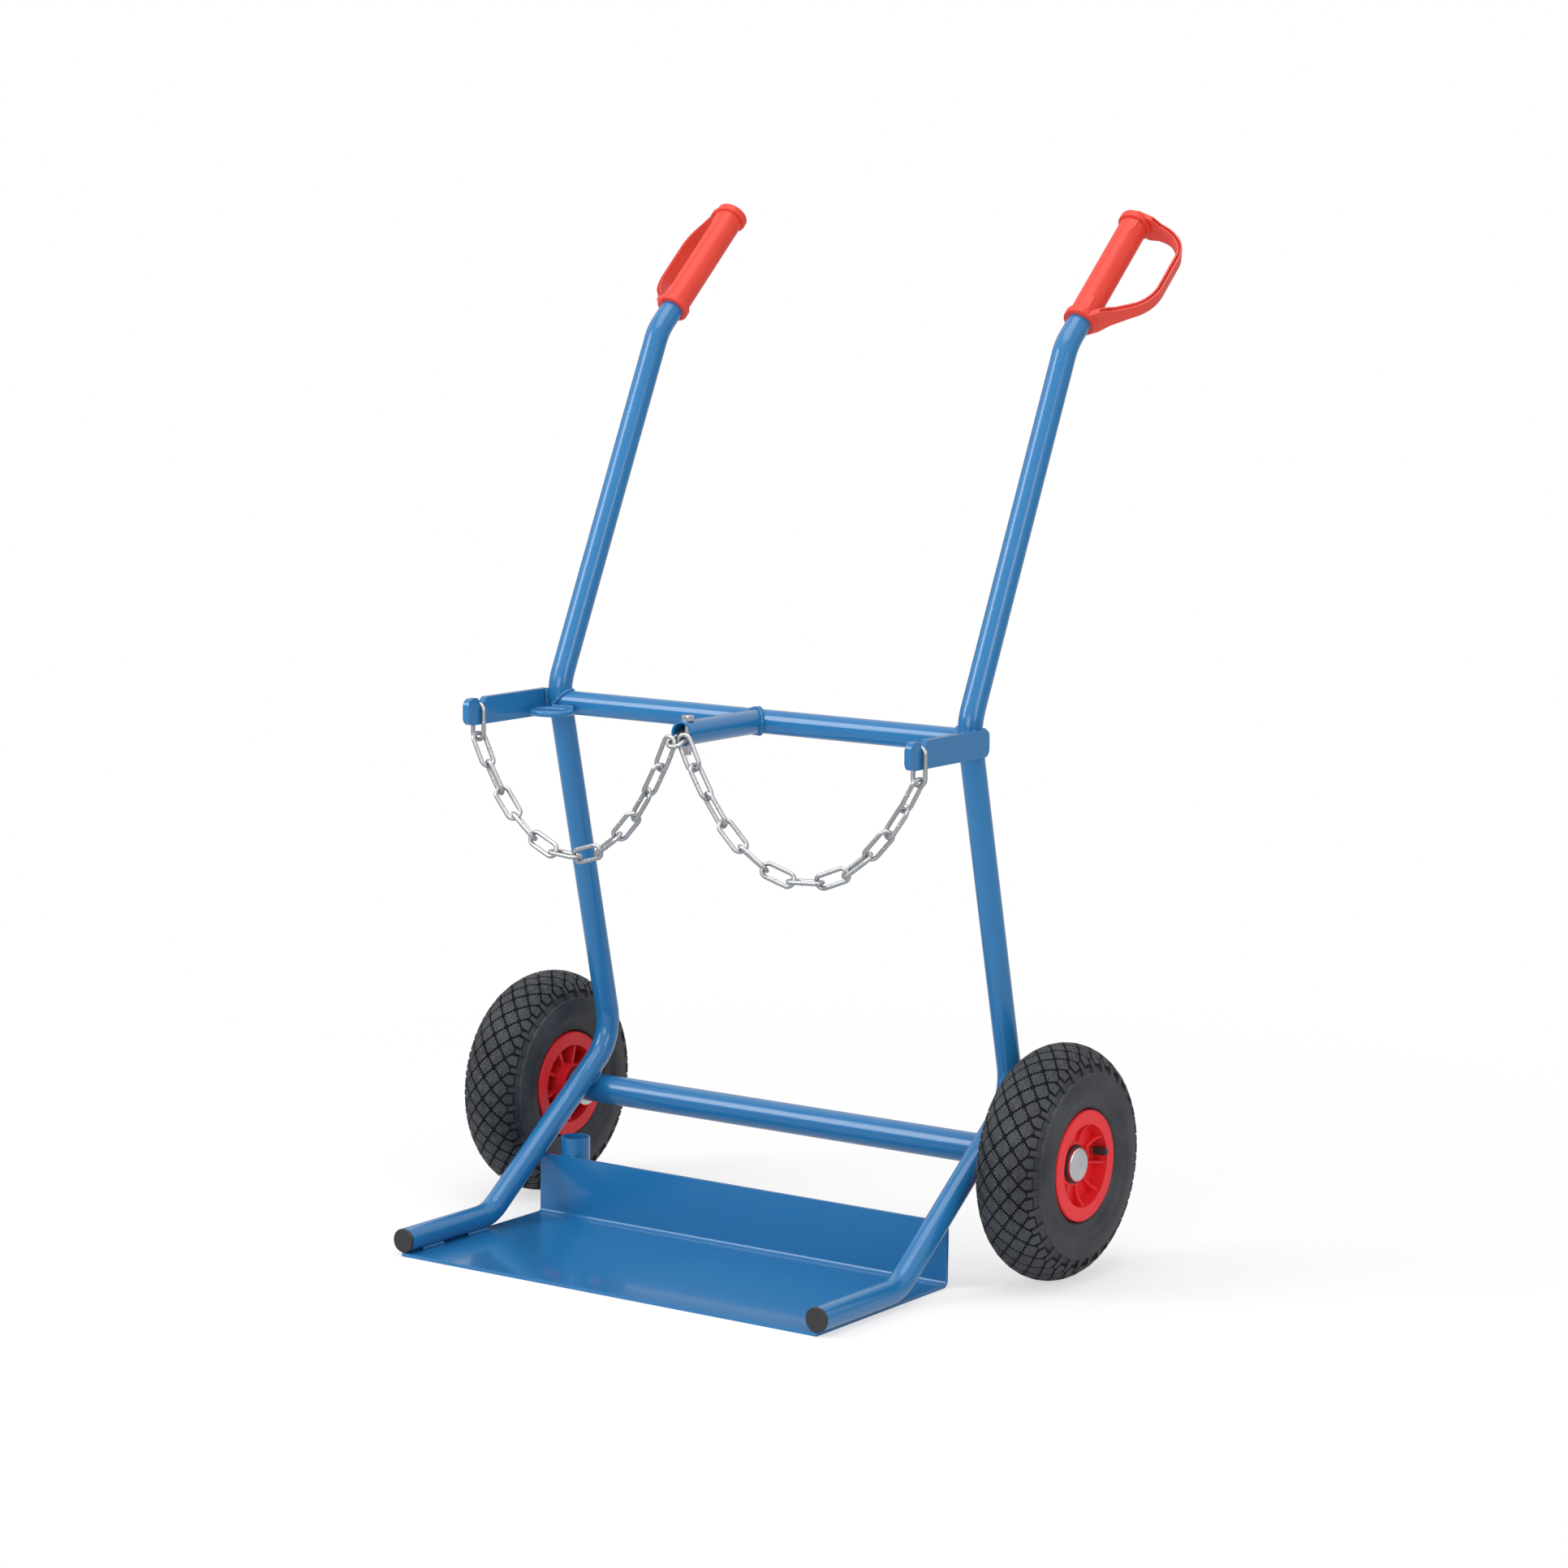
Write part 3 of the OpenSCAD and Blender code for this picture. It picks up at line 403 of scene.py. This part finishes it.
# %% The tree that sets out blocks on a strip and bends it into a tyre
def tread_tree(name, mirrored):
    """Staggered rows of a block, bent round the wheel. With mirrored, every second row is turned about."""
    tree, given, result = start_tree(name, [
        ("Round", "Int", ROUND), ("Rows", "Int", ROWS),
        ("Pitch", "Float", PITCH * MM), ("Row step", "Float", ROW_STEP * MM),
        ("Section radius", "Float", SECTION_R * MM), ("Section at", "Float", SECTION_AT * MM),
        ("Wheel", "Vector", (0, 0, 0)), ("Rubber", "Material", None)])

    def sums(op, a, b=0.0):
        return add(tree, "ShaderNodeMath", {0: a, 1: b}, operation=op).outputs[0]

    index = add(tree, "GeometryNodeInputIndex").outputs[0]
    row = sums("FLOOR", sums("DIVIDE", index, given["Round"]))
    stagger = sums("MULTIPLY", sums("MODULO", row, 2.0), 0.5)
    along = sums("MULTIPLY", sums("ADD", sums("MODULO", index, given["Round"]), stagger), given["Pitch"])
    middle = sums("MULTIPLY", sums("SUBTRACT", given["Rows"], 1.0), 0.5)
    across = sums("MULTIPLY", sums("SUBTRACT", row, middle), given["Row step"])
    spot = add(tree, "ShaderNodeCombineXYZ", {0: along, 1: across}).outputs[0]
    count = sums("MULTIPLY", given["Round"], given["Rows"])
    points = add(tree, "GeometryNodePoints", {"Count": count, "Position": spot}).outputs[0]
    turn = sums("MULTIPLY", sums("SUBTRACT", 1.0, row), math.pi if mirrored else 0.0)
    facing = add(tree, "ShaderNodeCombineXYZ", {2: turn}).outputs[0]
    laid = add(tree, "GeometryNodeInstanceOnPoints",
               {"Points": points, "Instance": given["Geometry"], "Rotation": facing}).outputs[0]
    strip = add(tree, "GeometryNodeRealizeInstances", {0: laid}).outputs[0]

    corner = add(tree, "ShaderNodeSeparateXYZ", {0: add(tree, "GeometryNodeInputPosition").outputs[0]}).outputs
    spin = sums("DIVIDE", corner[0], sums("ADD", given["Section at"], given["Section radius"]))
    lean = sums("DIVIDE", corner[1], given["Section radius"])
    reach = sums("ADD", given["Section radius"], corner[2])
    ring = sums("ADD", given["Section at"], sums("MULTIPLY", reach, sums("COSINE", lean)))
    bent = add(tree, "ShaderNodeCombineXYZ", {0: sums("MULTIPLY", reach, sums("SINE", lean)),
                                              1: sums("MULTIPLY", ring, sums("COSINE", spin)),
                                              2: sums("MULTIPLY", ring, sums("SINE", spin))}).outputs[0]
    moved = add(tree, "ShaderNodeVectorMath", {0: bent, 1: given["Wheel"]}, operation="ADD").outputs[0]
    tyre = add(tree, "GeometryNodeSetPosition", {"Geometry": strip, "Position": moved}).outputs[0]
    painted = add(tree, "GeometryNodeSetMaterial", {"Geometry": tyre, "Material": given["Rubber"]})
    tree.links.new(painted.outputs[0], result[0])
    return tree


diamond_tree = tread_tree("diamond_tread", False)
lug_tree = tread_tree("shoulder_lugs", True)
print("tread trees:", len(diamond_tree.nodes), "nodes each")

# %% [markdown]
# Casing, diamonds and shoulders make one tyre, and all three turn with their wheel. The casing stands in for the
# plain tyre of the solids, which has the same size but no tread.

# %% Tyres on both wheels
for name, side in (("left", -1), ("right", 1)):
    body = name + "_wheel"
    hub = (side * WHEEL_X * MM, 0, AXLE_Z * MM)
    casing = bpy.data.objects.new(name + "_tyre_casing", spin_casing(side))
    scene.collection.objects.link(casing)
    casing.data.materials.append(rubber)
    # Second material: painted shade for the groove floors.
    casing.data.materials.append(painted_groove_shade)
    tread = grow(name + "_tread_blocks", tread_block(), diamond_tree, {"Wheel": hub, "Rubber": rubber})
    lugs = grow(name + "_shoulder_lugs", shoulder_pair(), lug_tree,
                {"Wheel": hub, "Rubber": rubber, "Rows": 2, "Row step": SHOULDER_STEP * MM})
    for piece in (casing, tread, lugs):
        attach(piece, body)
    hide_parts(name + "_tyre")
    print(name, "tyre faces:", len(casing.data.polygons), len(tread.data.polygons), len(lugs.data.polygons))

# %% [markdown]
# The moulded rims have nine ribs in the dish between hub and ring. The solids carry the ribs themselves;
# the thin crest that the mould leaves on top of each is added here, because that bright edge is what the eye
# reads as a rib. One crest is drawn standing on the hub, and a tree repeats it round the axle.

# %% Rib crests
RIBS, FIRST_RIB = 9, math.radians(284 + 20)
CREST_STEPS, CREST_FROM, CREST_LONG = 8, 25, 21
CREST_FOOT, CREST_LOW, CREST_RISE = 18.5, 23.2, 9.6
CREST_HALF, CREST_FLAT, CREST_EASE = 1.3, 0.7, 0.6


def rib_crest(side):
    """One crest, drawn along +Z from the hub to the ring, with its edge towards the outside of the wheel."""
    bm = bmesh.new()
    rows = []
    for k in range(CREST_STEPS + 1):
        t = k / CREST_STEPS
        reach, lift = CREST_FROM + CREST_LONG * t, CREST_LOW + CREST_RISE * t ** 1.8
        half = [(CREST_HALF, CREST_FOOT), (CREST_HALF, lift - CREST_EASE), (CREST_FLAT, lift)]
        section = [(-y, x) for y, x in half] + list(reversed(half))
        rows.append([bm.verts.new((side * x * MM, y * MM, reach * MM)) for y, x in section])
    for a, b in zip(rows, rows[1:]):
        for k in range(len(a)):
            n = (k + 1) % len(a)
            bm.faces.new((a[k], a[n], b[n], b[k]))
    bm.faces.new(rows[0])
    bm.faces.new(rows[-1])
    bmesh.ops.recalc_face_normals(bm, faces=bm.faces)
    return plain_mesh("rib_crest", bm)


def rib_tree():
    """A crest repeated round a wheel's axle."""
    tree, given, result = start_tree("ribs_round_the_hub", [
        ("Count", "Int", RIBS), ("First", "Float", FIRST_RIB),
        ("Wheel", "Vector", (0, 0, 0)), ("Plastic", "Material", None)])
    index = add(tree, "GeometryNodeInputIndex").outputs[0]
    step = add(tree, "ShaderNodeMath", {0: 2 * math.pi, 1: given["Count"]}, operation="DIVIDE").outputs[0]
    turn = add(tree, "ShaderNodeMath", {0: index, 1: step, 2: given["First"]},
               operation="MULTIPLY_ADD").outputs[0]
    facing = add(tree, "ShaderNodeCombineXYZ", {0: turn}).outputs[0]
    spots = add(tree, "GeometryNodePoints", {"Count": given["Count"], "Position": given["Wheel"]}).outputs[0]
    laid = add(tree, "GeometryNodeInstanceOnPoints",
               {"Points": spots, "Instance": given["Geometry"], "Rotation": facing}).outputs[0]
    joined = add(tree, "GeometryNodeRealizeInstances", {0: laid}).outputs[0]
    moulded = add(tree, "GeometryNodeSetMaterial", {"Geometry": joined, "Material": given["Plastic"]})
    tree.links.new(moulded.outputs[0], result[0])
    return tree


ribs_tree = rib_tree()
for name, side in (("left", -1), ("right", 1)):
    crests = grow(name + "_rib_crests", rib_crest(side), ribs_tree,
                  {"Wheel": (side * WHEEL_X * MM, 0, AXLE_Z * MM), "Plastic": red_rim})
    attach(crests, name + "_wheel")
    print(crests.name, "faces:", len(crests.data.polygons))

# %% [markdown]
# A chain is one link many times over, so the tree needs only points that say where each link sits and how it
# is turned. The points come from the rule of a hanging chain of equal links: the tangent of the slope
# grows by the same step from each link to the next. Two halving searches find the step and the low point
# that make the chain span exactly from its hook to the link in the middle.

# %% Where the links hang
WIRE_R, LINK_ROUND, LINK_HALF, PITCH_LINK, HUNG = 2.5, 7.5, 12.5, 34.3, 12
HOOK_X, SLOT_Y, FIRST_Z, HANG_Z = 292.6, -203.427, 578.886, 563.236
END_UP, END_TILT = 3.55, math.radians(66)
QUARTER = math.pi / 2


def slopes(k, c):
    """Slope of every hung link, when the tangent grows by k for each link from the low point c."""
    return [math.atan((i - c) * k) for i in range(1, HUNG + 1)]


def halve(test, low, high):
    """The value where test turns from true to false."""
    for _ in range(60):
        middle = (low + high) / 2
        low, high = (middle, high) if test(middle) else (low, middle)
    return (low + high) / 2


def hang(run, rise):
    """Slopes of the links of a chain that spans run and rise, both in links."""
    def low_point(k):
        return halve(lambda c: sum(map(math.sin, slopes(k, c))) > rise, -9, 30)
    k = halve(lambda k: sum(map(math.cos, slopes(k, low_point(k)))) > run, 0.02, 4)
    return slopes(k, low_point(k))


def link_places(end_y, end_z, twist, mirror):
    """A matrix for every link of a chain, in millimetres, drawn for the left side and mirrored for the right."""
    goal = Vector((HOOK_X - LINK_ROUND, end_y - SLOT_Y, end_z + END_UP * math.sin(END_TILT) - HANG_Z))
    tilts = hang((goal.xy.length + END_UP * math.cos(END_TILT)) / PITCH_LINK, goal.z / PITCH_LINK)
    hook = Matrix.Translation((-HOOK_X, SLOT_Y, 0))
    upright = Matrix.Rotation(QUARTER, 4, "Y") @ Matrix.Rotation(QUARTER, 4, "X")
    places = [hook @ Matrix.Translation((0, 0, FIRST_Z)) @ upright]
    heading = Matrix.Rotation(math.atan2(goal.y, goal.x), 4, "Z")
    joint = Vector((0, 0, HANG_Z))
    for i, tilt in enumerate(tilts, 1):
        ahead = PITCH_LINK * Vector((math.cos(tilt), 0, math.sin(tilt)))
        turned = Matrix.Rotation(-tilt, 4, "Y") @ Matrix.Rotation(QUARTER + twist * i, 4, "X")
        places.append(hook @ heading @ Matrix.Translation(joint + ahead / 2) @ turned)
        joint += ahead
    flip = Matrix.Diagonal((-1 if mirror else 1, 1, 1, 1))
    return [flip @ p @ flip for p in places]


print("links in each chain:", HUNG + 1, "pitch:", PITCH_LINK, "mm")


# %% [markdown]
# A link is a rectangle with fully rounded ends, swept with a round wire, with the little swelling that a
# resistance weld leaves on one leg. The turn of each link travels with its point as an attribute, because
# a tree can't know how a chain twists.

# %% The link tree
def link_tree():
    """A welded wire link, drawn once and strung on points that carry their turn."""
    tree, given, result = start_tree("wire_links", [
        ("Length", "Float", 2 * (LINK_HALF + LINK_ROUND) * MM), ("Round", "Float", LINK_ROUND * MM),
        ("Wire", "Float", WIRE_R * MM), ("Plating", "Material", None)])
    wide = add(tree, "ShaderNodeMath", {0: given["Round"], 1: 2.0}, operation="MULTIPLY").outputs[0]
    oblong = add(tree, "GeometryNodeCurvePrimitiveQuadrilateral", {"Width": given["Length"], "Height": wide})
    eased = add(tree, "GeometryNodeFilletCurve",
                {"Curve": oblong.outputs[0], "Radius": given["Round"], "Count": 10, "Limit Radius": True},
                mode="POLY")
    wire = add(tree, "GeometryNodeCurvePrimitiveCircle", {"Resolution": 16, "Radius": given["Wire"]})
    swept = add(tree, "GeometryNodeCurveToMesh", {"Curve": eased.outputs[0], "Profile Curve": wire.outputs[0]})
    bulge = add(tree, "GeometryNodeMeshUVSphere", {"Segments": 12, "Rings": 8, "Radius": given["Wire"]})
    leg = add(tree, "ShaderNodeCombineXYZ", {1: given["Round"]}).outputs[0]
    upset = add(tree, "GeometryNodeTransform",
                {"Geometry": bulge.outputs[0], "Translation": leg, "Scale": (0.85, 1.14, 1.14)})
    link = add(tree, "GeometryNodeJoinGeometry")
    tree.links.new(swept.outputs[0], link.inputs[0])
    tree.links.new(upset.outputs[0], link.inputs[0])
    turned = add(tree, "GeometryNodeInputNamedAttribute", {"Name": "turn"}, data_type="FLOAT_VECTOR").outputs[0]
    strung = add(tree, "GeometryNodeInstanceOnPoints",
                 {"Points": given["Geometry"], "Instance": link.outputs[0], "Rotation": turned})
    joined = add(tree, "GeometryNodeRealizeInstances", {0: strung.outputs[0]})
    smooth = add(tree, "GeometryNodeSetShadeSmooth", {"Geometry": joined.outputs[0]})
    plated = add(tree, "GeometryNodeSetMaterial", {"Geometry": smooth.outputs[0], "Material": given["Plating"]})
    tree.links.new(plated.outputs[0], result[0])
    return tree


def link_points(places):
    """A mesh of bare points that carry the turn of their link."""
    mesh = bpy.data.meshes.new("link_points")
    mesh.from_pydata([p.translation * MM for p in places], [], [])
    turn = mesh.attributes.new("turn", "FLOAT_VECTOR", "POINT")
    for spot, p in zip(turn.data, places):
        spot.vector = p.to_euler("XYZ")
    return mesh


wire_links = link_tree()
print("link tree:", len(wire_links.nodes), "nodes")

# %% [markdown]
# One link lies over the lower lip of the stub, held by the bolt, and both chains end in it, one behind the other.
# Links of a chain stand crosswise, a quarter turn each; a half turn of twist shared along the chain is taken off,
# which brings the last link round to where the middle one can pass through it.

# %% Both chains and the link that anchors them
MOUTH_Y, MOUTH_Z, ANCHOR_SLOPE = -221.427, 586.981, math.radians(25)
ANCHOR_BACK, ANCHOR_HALF = -202.827, 20
FRONT_Y, BACK_Y = -232.227, -226.527
TWIST = math.radians(90 - 180 / HUNG)


def anchor_z(y):
    """Height of the middle of the anchor link's wire above a place along the stub."""
    return MOUTH_Z - (MOUTH_Y - y) * math.tan(ANCHOR_SLOPE)


anchor_at = Vector((0, ANCHOR_BACK - ANCHOR_HALF * math.cos(ANCHOR_SLOPE),
                    anchor_z(ANCHOR_BACK) - ANCHOR_HALF * math.sin(ANCHOR_SLOPE)))
anchor_turn = Matrix.Rotation(ANCHOR_SLOPE, 4, "X") @ Matrix.Rotation(QUARTER, 4, "Z")
anchor = Matrix.Translation(anchor_at) @ anchor_turn
strings = (("left_chain", "left_chain", link_places(FRONT_Y, anchor_z(FRONT_Y), -TWIST, False)),
           ("right_chain", "right_chain", link_places(BACK_Y, anchor_z(BACK_Y), TWIST, True)),
           ("anchor_link", "frame", [anchor]))
for node, body, places in strings:
    piece = grow(node + "_wire", link_points(places), wire_links, {"Plating": chain_zinc})
    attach(piece, body)
    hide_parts(node)


# %% [markdown]
# Where tubes and plates meet, the real frame has a weld bead under the paint. Each seam is worked out as a line
# of points: saddles where a tube runs into a tube, an oval where one lies on another, and straight runs along
# plates. The saddles stand a little outside both tubes, so that the bead shows.

# %% Saddles between tubes
SADDLE_R = TUBE_R + 0.6
DIAGONAL = math.radians(36.4)
OVAL_WIDE, OVAL_LONG = 8.6, 9.6


def near_tube(y, z):
    """Distance of a point from the side tube's centre line, in the tube's upright plane."""
    return min((Vector((y, z)) - p).length for p in tube_line)


def turns(count):
    """Angles once round, with the first one again at the end."""
    return [2 * math.pi * k / count for k in range(count + 1)]


def cross_seam(side):
    """The saddle where the cross tube runs into a side tube."""
    seam = []
    for t in turns(48):
        y, z = CROSS_Y + SADDLE_R * math.cos(t), CROSS_Z + SADDLE_R * math.sin(t)
        inside = math.sqrt(max(0.0, SADDLE_R ** 2 - near_tube(y, z) ** 2))
        seam.append((side * (SIDE_X - inside), y, z))
    return seam


def stub_seam():
    """The saddle where the stub leaves the cross tube."""
    return [(SADDLE_R * math.cos(t), CROSS_Y - SADDLE_R * abs(math.cos(t)), CROSS_Z + SADDLE_R * math.sin(t))
            for t in turns(48)]


def axle_seam(side):
    """The oval round the place where a diagonal lies on the axle tube."""
    along = Vector((0, math.cos(DIAGONAL), math.sin(DIAGONAL)))
    out = Vector((0, -math.sin(DIAGONAL), math.cos(DIAGONAL)))
    touch = Vector((side * SIDE_X, 0, AXLE_Z)) + AXLE_TUBE_R * out
    seam = []
    for t in turns(40):
        dx, s = OVAL_WIDE * math.cos(t), OVAL_LONG * math.sin(t)
        lift = TUBE_R - math.sqrt(TUBE_R ** 2 - dx ** 2)
        drop = AXLE_TUBE_R - math.sqrt(AXLE_TUBE_R ** 2 - s ** 2)
        seam.append(touch + Vector((dx, 0, 0)) + along * s + out * (lift - drop) / 2)
    return seam


# %% Runs along plates, and the rod holder
HOOK_RISE, HOOK_OUT, HOOK_OFF = 13, 11.7, 9.6
PLATE_IN, PLATE_Z, PLATE_RUN = 8.6, 5.4, 34
CUP_X, CUP_Y, CUP_OUT = -242.0, -86.114, 15.2
RING_X, RING_Y, RING_Z, RING_R = -258.0, -113.42, 584.086, 23.2


def hook_seams(side):
    """Upright beads in the two corners between a hook plate and the side tube."""
    span = [p for p in tube_line if CROSS_Z - HOOK_RISE < p.y < CROSS_Z + HOOK_RISE]
    return [[(side * (SIDE_X + HOOK_OUT), p.x + off, p.y) for p in span] for off in (-HOOK_OFF, HOOK_OFF)]


def plate_seams(side):
    """Short beads between the toe plate and the tube that lies on it."""
    x = side * (SIDE_X - PLATE_IN)
    return [[(x, y + d, PLATE_Z) for d in range(0, PLATE_RUN, 2)] for y in (-330, -250)]


def holder_seams():
    """Beads on the rod cup and on the ring."""
    cup = [[(CUP_X + off, CUP_Y - CUP_OUT, z) for z in range(26, 72, 2)] for off in (-8, 8)]
    arc = [math.radians(90 + a) for a in range(-34, 35, 4)]
    ring = [[(RING_X + RING_R * math.cos(t), RING_Y + RING_R * math.sin(t), RING_Z + up) for t in arc]
            for up in (3.4, -2.6)]
    return cup + ring


seams = [stub_seam()] + holder_seams()
for side in (-1, 1):
    seams += [cross_seam(side), axle_seam(side)] + hook_seams(side) + plate_seams(side)
print("weld seams:", len(seams))


# %% [markdown]
# A bead is a row of small overlapping drops. One tree spaces them evenly along every seam, turns each one to
# its seam, flattens it along the run and makes it a little uneven in size, with a fixed seed.

# %% Lay the weld beads
def bead_tree():
    """Painted drops along the edges of a mesh of seams."""
    tree, given, result = start_tree("weld_beads", [
        ("Drop", "Float", 0.0028), ("Step", "Float", 0.0022), ("Seed", "Int", 7), ("Paint", "Material", None)])
    seam = add(tree, "GeometryNodeMeshToCurve", {"Mesh": given["Geometry"]})
    even = add(tree, "GeometryNodeResampleCurve",
               {"Curve": seam.outputs[0], "Length": given["Step"]}, mode="LENGTH")
    run = add(tree, "GeometryNodeInputTangent").outputs[0]
    facing = add(tree, "FunctionNodeAlignRotationToVector", {"Vector": run}, axis="Z").outputs[0]
    size = add(tree, "FunctionNodeRandomValue", {2: 0.82, 3: 1.12, "Seed": given["Seed"]},
               data_type="FLOAT").outputs[1]
    drop = add(tree, "GeometryNodeMeshUVSphere", {"Segments": 9, "Rings": 6, "Radius": given["Drop"]})
    pressed = add(tree, "GeometryNodeTransform", {"Geometry": drop.outputs[0], "Scale": (1.0, 1.0, 0.72)})
    laid = add(tree, "GeometryNodeInstanceOnPoints",
               {"Points": even.outputs[0], "Instance": pressed.outputs[0], "Rotation": facing, "Scale": size})
    joined = add(tree, "GeometryNodeRealizeInstances", {0: laid.outputs[0]})
    smooth = add(tree, "GeometryNodeSetShadeSmooth", {"Geometry": joined.outputs[0]})
    painted = add(tree, "GeometryNodeSetMaterial", {"Geometry": smooth.outputs[0], "Material": given["Paint"]})
    tree.links.new(painted.outputs[0], result[0])
    return tree


seam_mesh = bpy.data.meshes.new("seams")
spots, runs = [], []
for seam in seams:
    runs += [(len(spots) + k, len(spots) + k + 1) for k in range(len(seam) - 1)]
    spots += [Vector(p) * MM for p in seam]
seam_mesh.from_pydata(spots, runs, [])
welds = grow("weld_beads", seam_mesh, bead_tree(), {"Paint": blue_paint})
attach(welds, "frame")
print("weld bead faces:", len(welds.data.polygons))

# %% [markdown]
# The floor is a wide pale disc. Close to the trolley it is plain matt white and takes the soft shadows;
# further out it turns into even white, so that no horizon line crosses the picture. Only the camera and
# mirroring surfaces see that even white, and mirrors see it dimmer, so it lights nothing by itself.

# %% Floor
FLOOR_R, NEAR, FAR = 9, 0.3, 1.5

bm = bmesh.new()
bmesh.ops.create_circle(bm, cap_ends=True, radius=FLOOR_R, segments=96)
floor_mesh = plain_mesh("floor", bm)
floor = bpy.data.objects.new("floor", floor_mesh)
scene.collection.objects.link(floor)
pale = bpy.data.materials.new("pale_floor")
pale.use_nodes = True
tree = pale.node_tree
tree.nodes.remove(tree.nodes["Principled BSDF"])
where = add(tree, "ShaderNodeTexCoord").outputs["Object"]
away = add(tree, "ShaderNodeVectorMath", {0: where}, operation="LENGTH").outputs["Value"]
fade = add(tree, "ShaderNodeMapRange", {"Value": away, "From Min": NEAR, "From Max": FAR, "To Min": 0.6},
           interpolation_type="SMOOTHSTEP").outputs[0]
matt = add(tree, "ShaderNodeBsdfDiffuse", {"Color": (0.93, 0.93, 0.93, 1)}).outputs[0]
ray = add(tree, "ShaderNodeLightPath").outputs
strength = add(tree, "ShaderNodeMath", {0: ray["Is Camera Ray"], 1: 0.45, 2: 0.55},
               operation="MULTIPLY_ADD").outputs[0]
glow = add(tree, "ShaderNodeEmission", {"Color": (1, 1, 1, 1), "Strength": strength}).outputs[0]
seen = add(tree, "ShaderNodeMath", {0: ray["Is Camera Ray"], 1: ray["Is Glossy Ray"]},
           operation="MAXIMUM").outputs[0]
share = add(tree, "ShaderNodeMath", {0: fade, 1: seen}, operation="MULTIPLY").outputs[0]
mixed = add(tree, "ShaderNodeMixShader", {0: share, 1: matt, 2: glow}).outputs[0]
tree.links.new(mixed, tree.nodes["Material Output"].inputs["Surface"])
floor_mesh.materials.append(pale)
print("floor faces:", len(floor_mesh.polygons))

# %% [markdown]
# The sky has three faces. It fills the shadows evenly, the camera sees it as plain white, and mirroring
# surfaces see one that is dimmer near the horizon, which gives the tubes and the chain their darker edges.

# %% Sky
FILL, HORIZON, ZENITH = 0.56, 0.3, 0.95
WHITE = (1, 1, 1, 1)

world = bpy.data.worlds.new("studio")
scene.world = world
world.use_nodes = True
tree = world.node_tree
ray = add(tree, "ShaderNodeLightPath").outputs
seen = add(tree, "ShaderNodeMath", {0: ray["Is Glossy Ray"], 1: ray["Is Transmission Ray"]},
           operation="MAXIMUM").outputs[0]
fill = add(tree, "ShaderNodeBackground", {"Color": WHITE, "Strength": FILL}).outputs[0]
towards = add(tree, "ShaderNodeTexCoord").outputs["Generated"]
height = add(tree, "ShaderNodeSeparateXYZ", {0: towards}).outputs["Z"]
bright = add(tree, "ShaderNodeMapRange",
             {"Value": height, "From Min": 0.05, "From Max": 0.5, "To Min": HORIZON, "To Max": ZENITH},
             interpolation_type="SMOOTHSTEP").outputs[0]
gleam = add(tree, "ShaderNodeBackground", {"Color": WHITE, "Strength": bright}).outputs[0]
plain = add(tree, "ShaderNodeBackground", {"Color": WHITE, "Strength": 1.0}).outputs[0]
inner = add(tree, "ShaderNodeMixShader", {0: seen, 1: fill, 2: gleam}).outputs[0]
outer = add(tree, "ShaderNodeMixShader", {0: ray["Is Camera Ray"], 1: inner, 2: plain}).outputs[0]
tree.links.new(outer, tree.nodes["World Output"].inputs["Surface"])
print("sky:", len(tree.nodes), "nodes")


# %% [markdown]
# Soft studio light: a high box at the left draws the bright line along the tubes, a wide box overhead lights
# the toe plate and the grips, and weak ones at the right and in front open the shadows.

# %% Lamps
def lamp(name, at, toward, wide, tall, watts):
    """A rectangular softbox, turned to the place it lights."""
    light = bpy.data.lights.new(name, "AREA")
    light.shape = "RECTANGLE"
    light.size, light.size_y, light.energy = wide, tall, watts
    made = bpy.data.objects.new(name, light)
    scene.collection.objects.link(made)
    made.location = at
    made.rotation_euler = (Vector(toward) - Vector(at)).to_track_quat("-Z", "Y").to_euler()
    return made


lamps = [lamp("left_box", (-2.0, -2.3, 2.5), (0, -0.1, 0.5), 1.3, 2.2, 54),
         lamp("overhead", (0.3, -0.6, 5.0), (0, -0.1, 0), 3.2, 3.2, 84),
         lamp("right_box", (3.2, -1.2, 1.8), (0, 0, 0.5), 1.2, 1.6, 18),
         lamp("front_box", (1.0, -4.6, 1.6), (0, -0.2, 0.4), 2.6, 1.4, 38)]
scene.view_settings.view_transform = "Standard"
print("lamps:", [made.name for made in lamps])
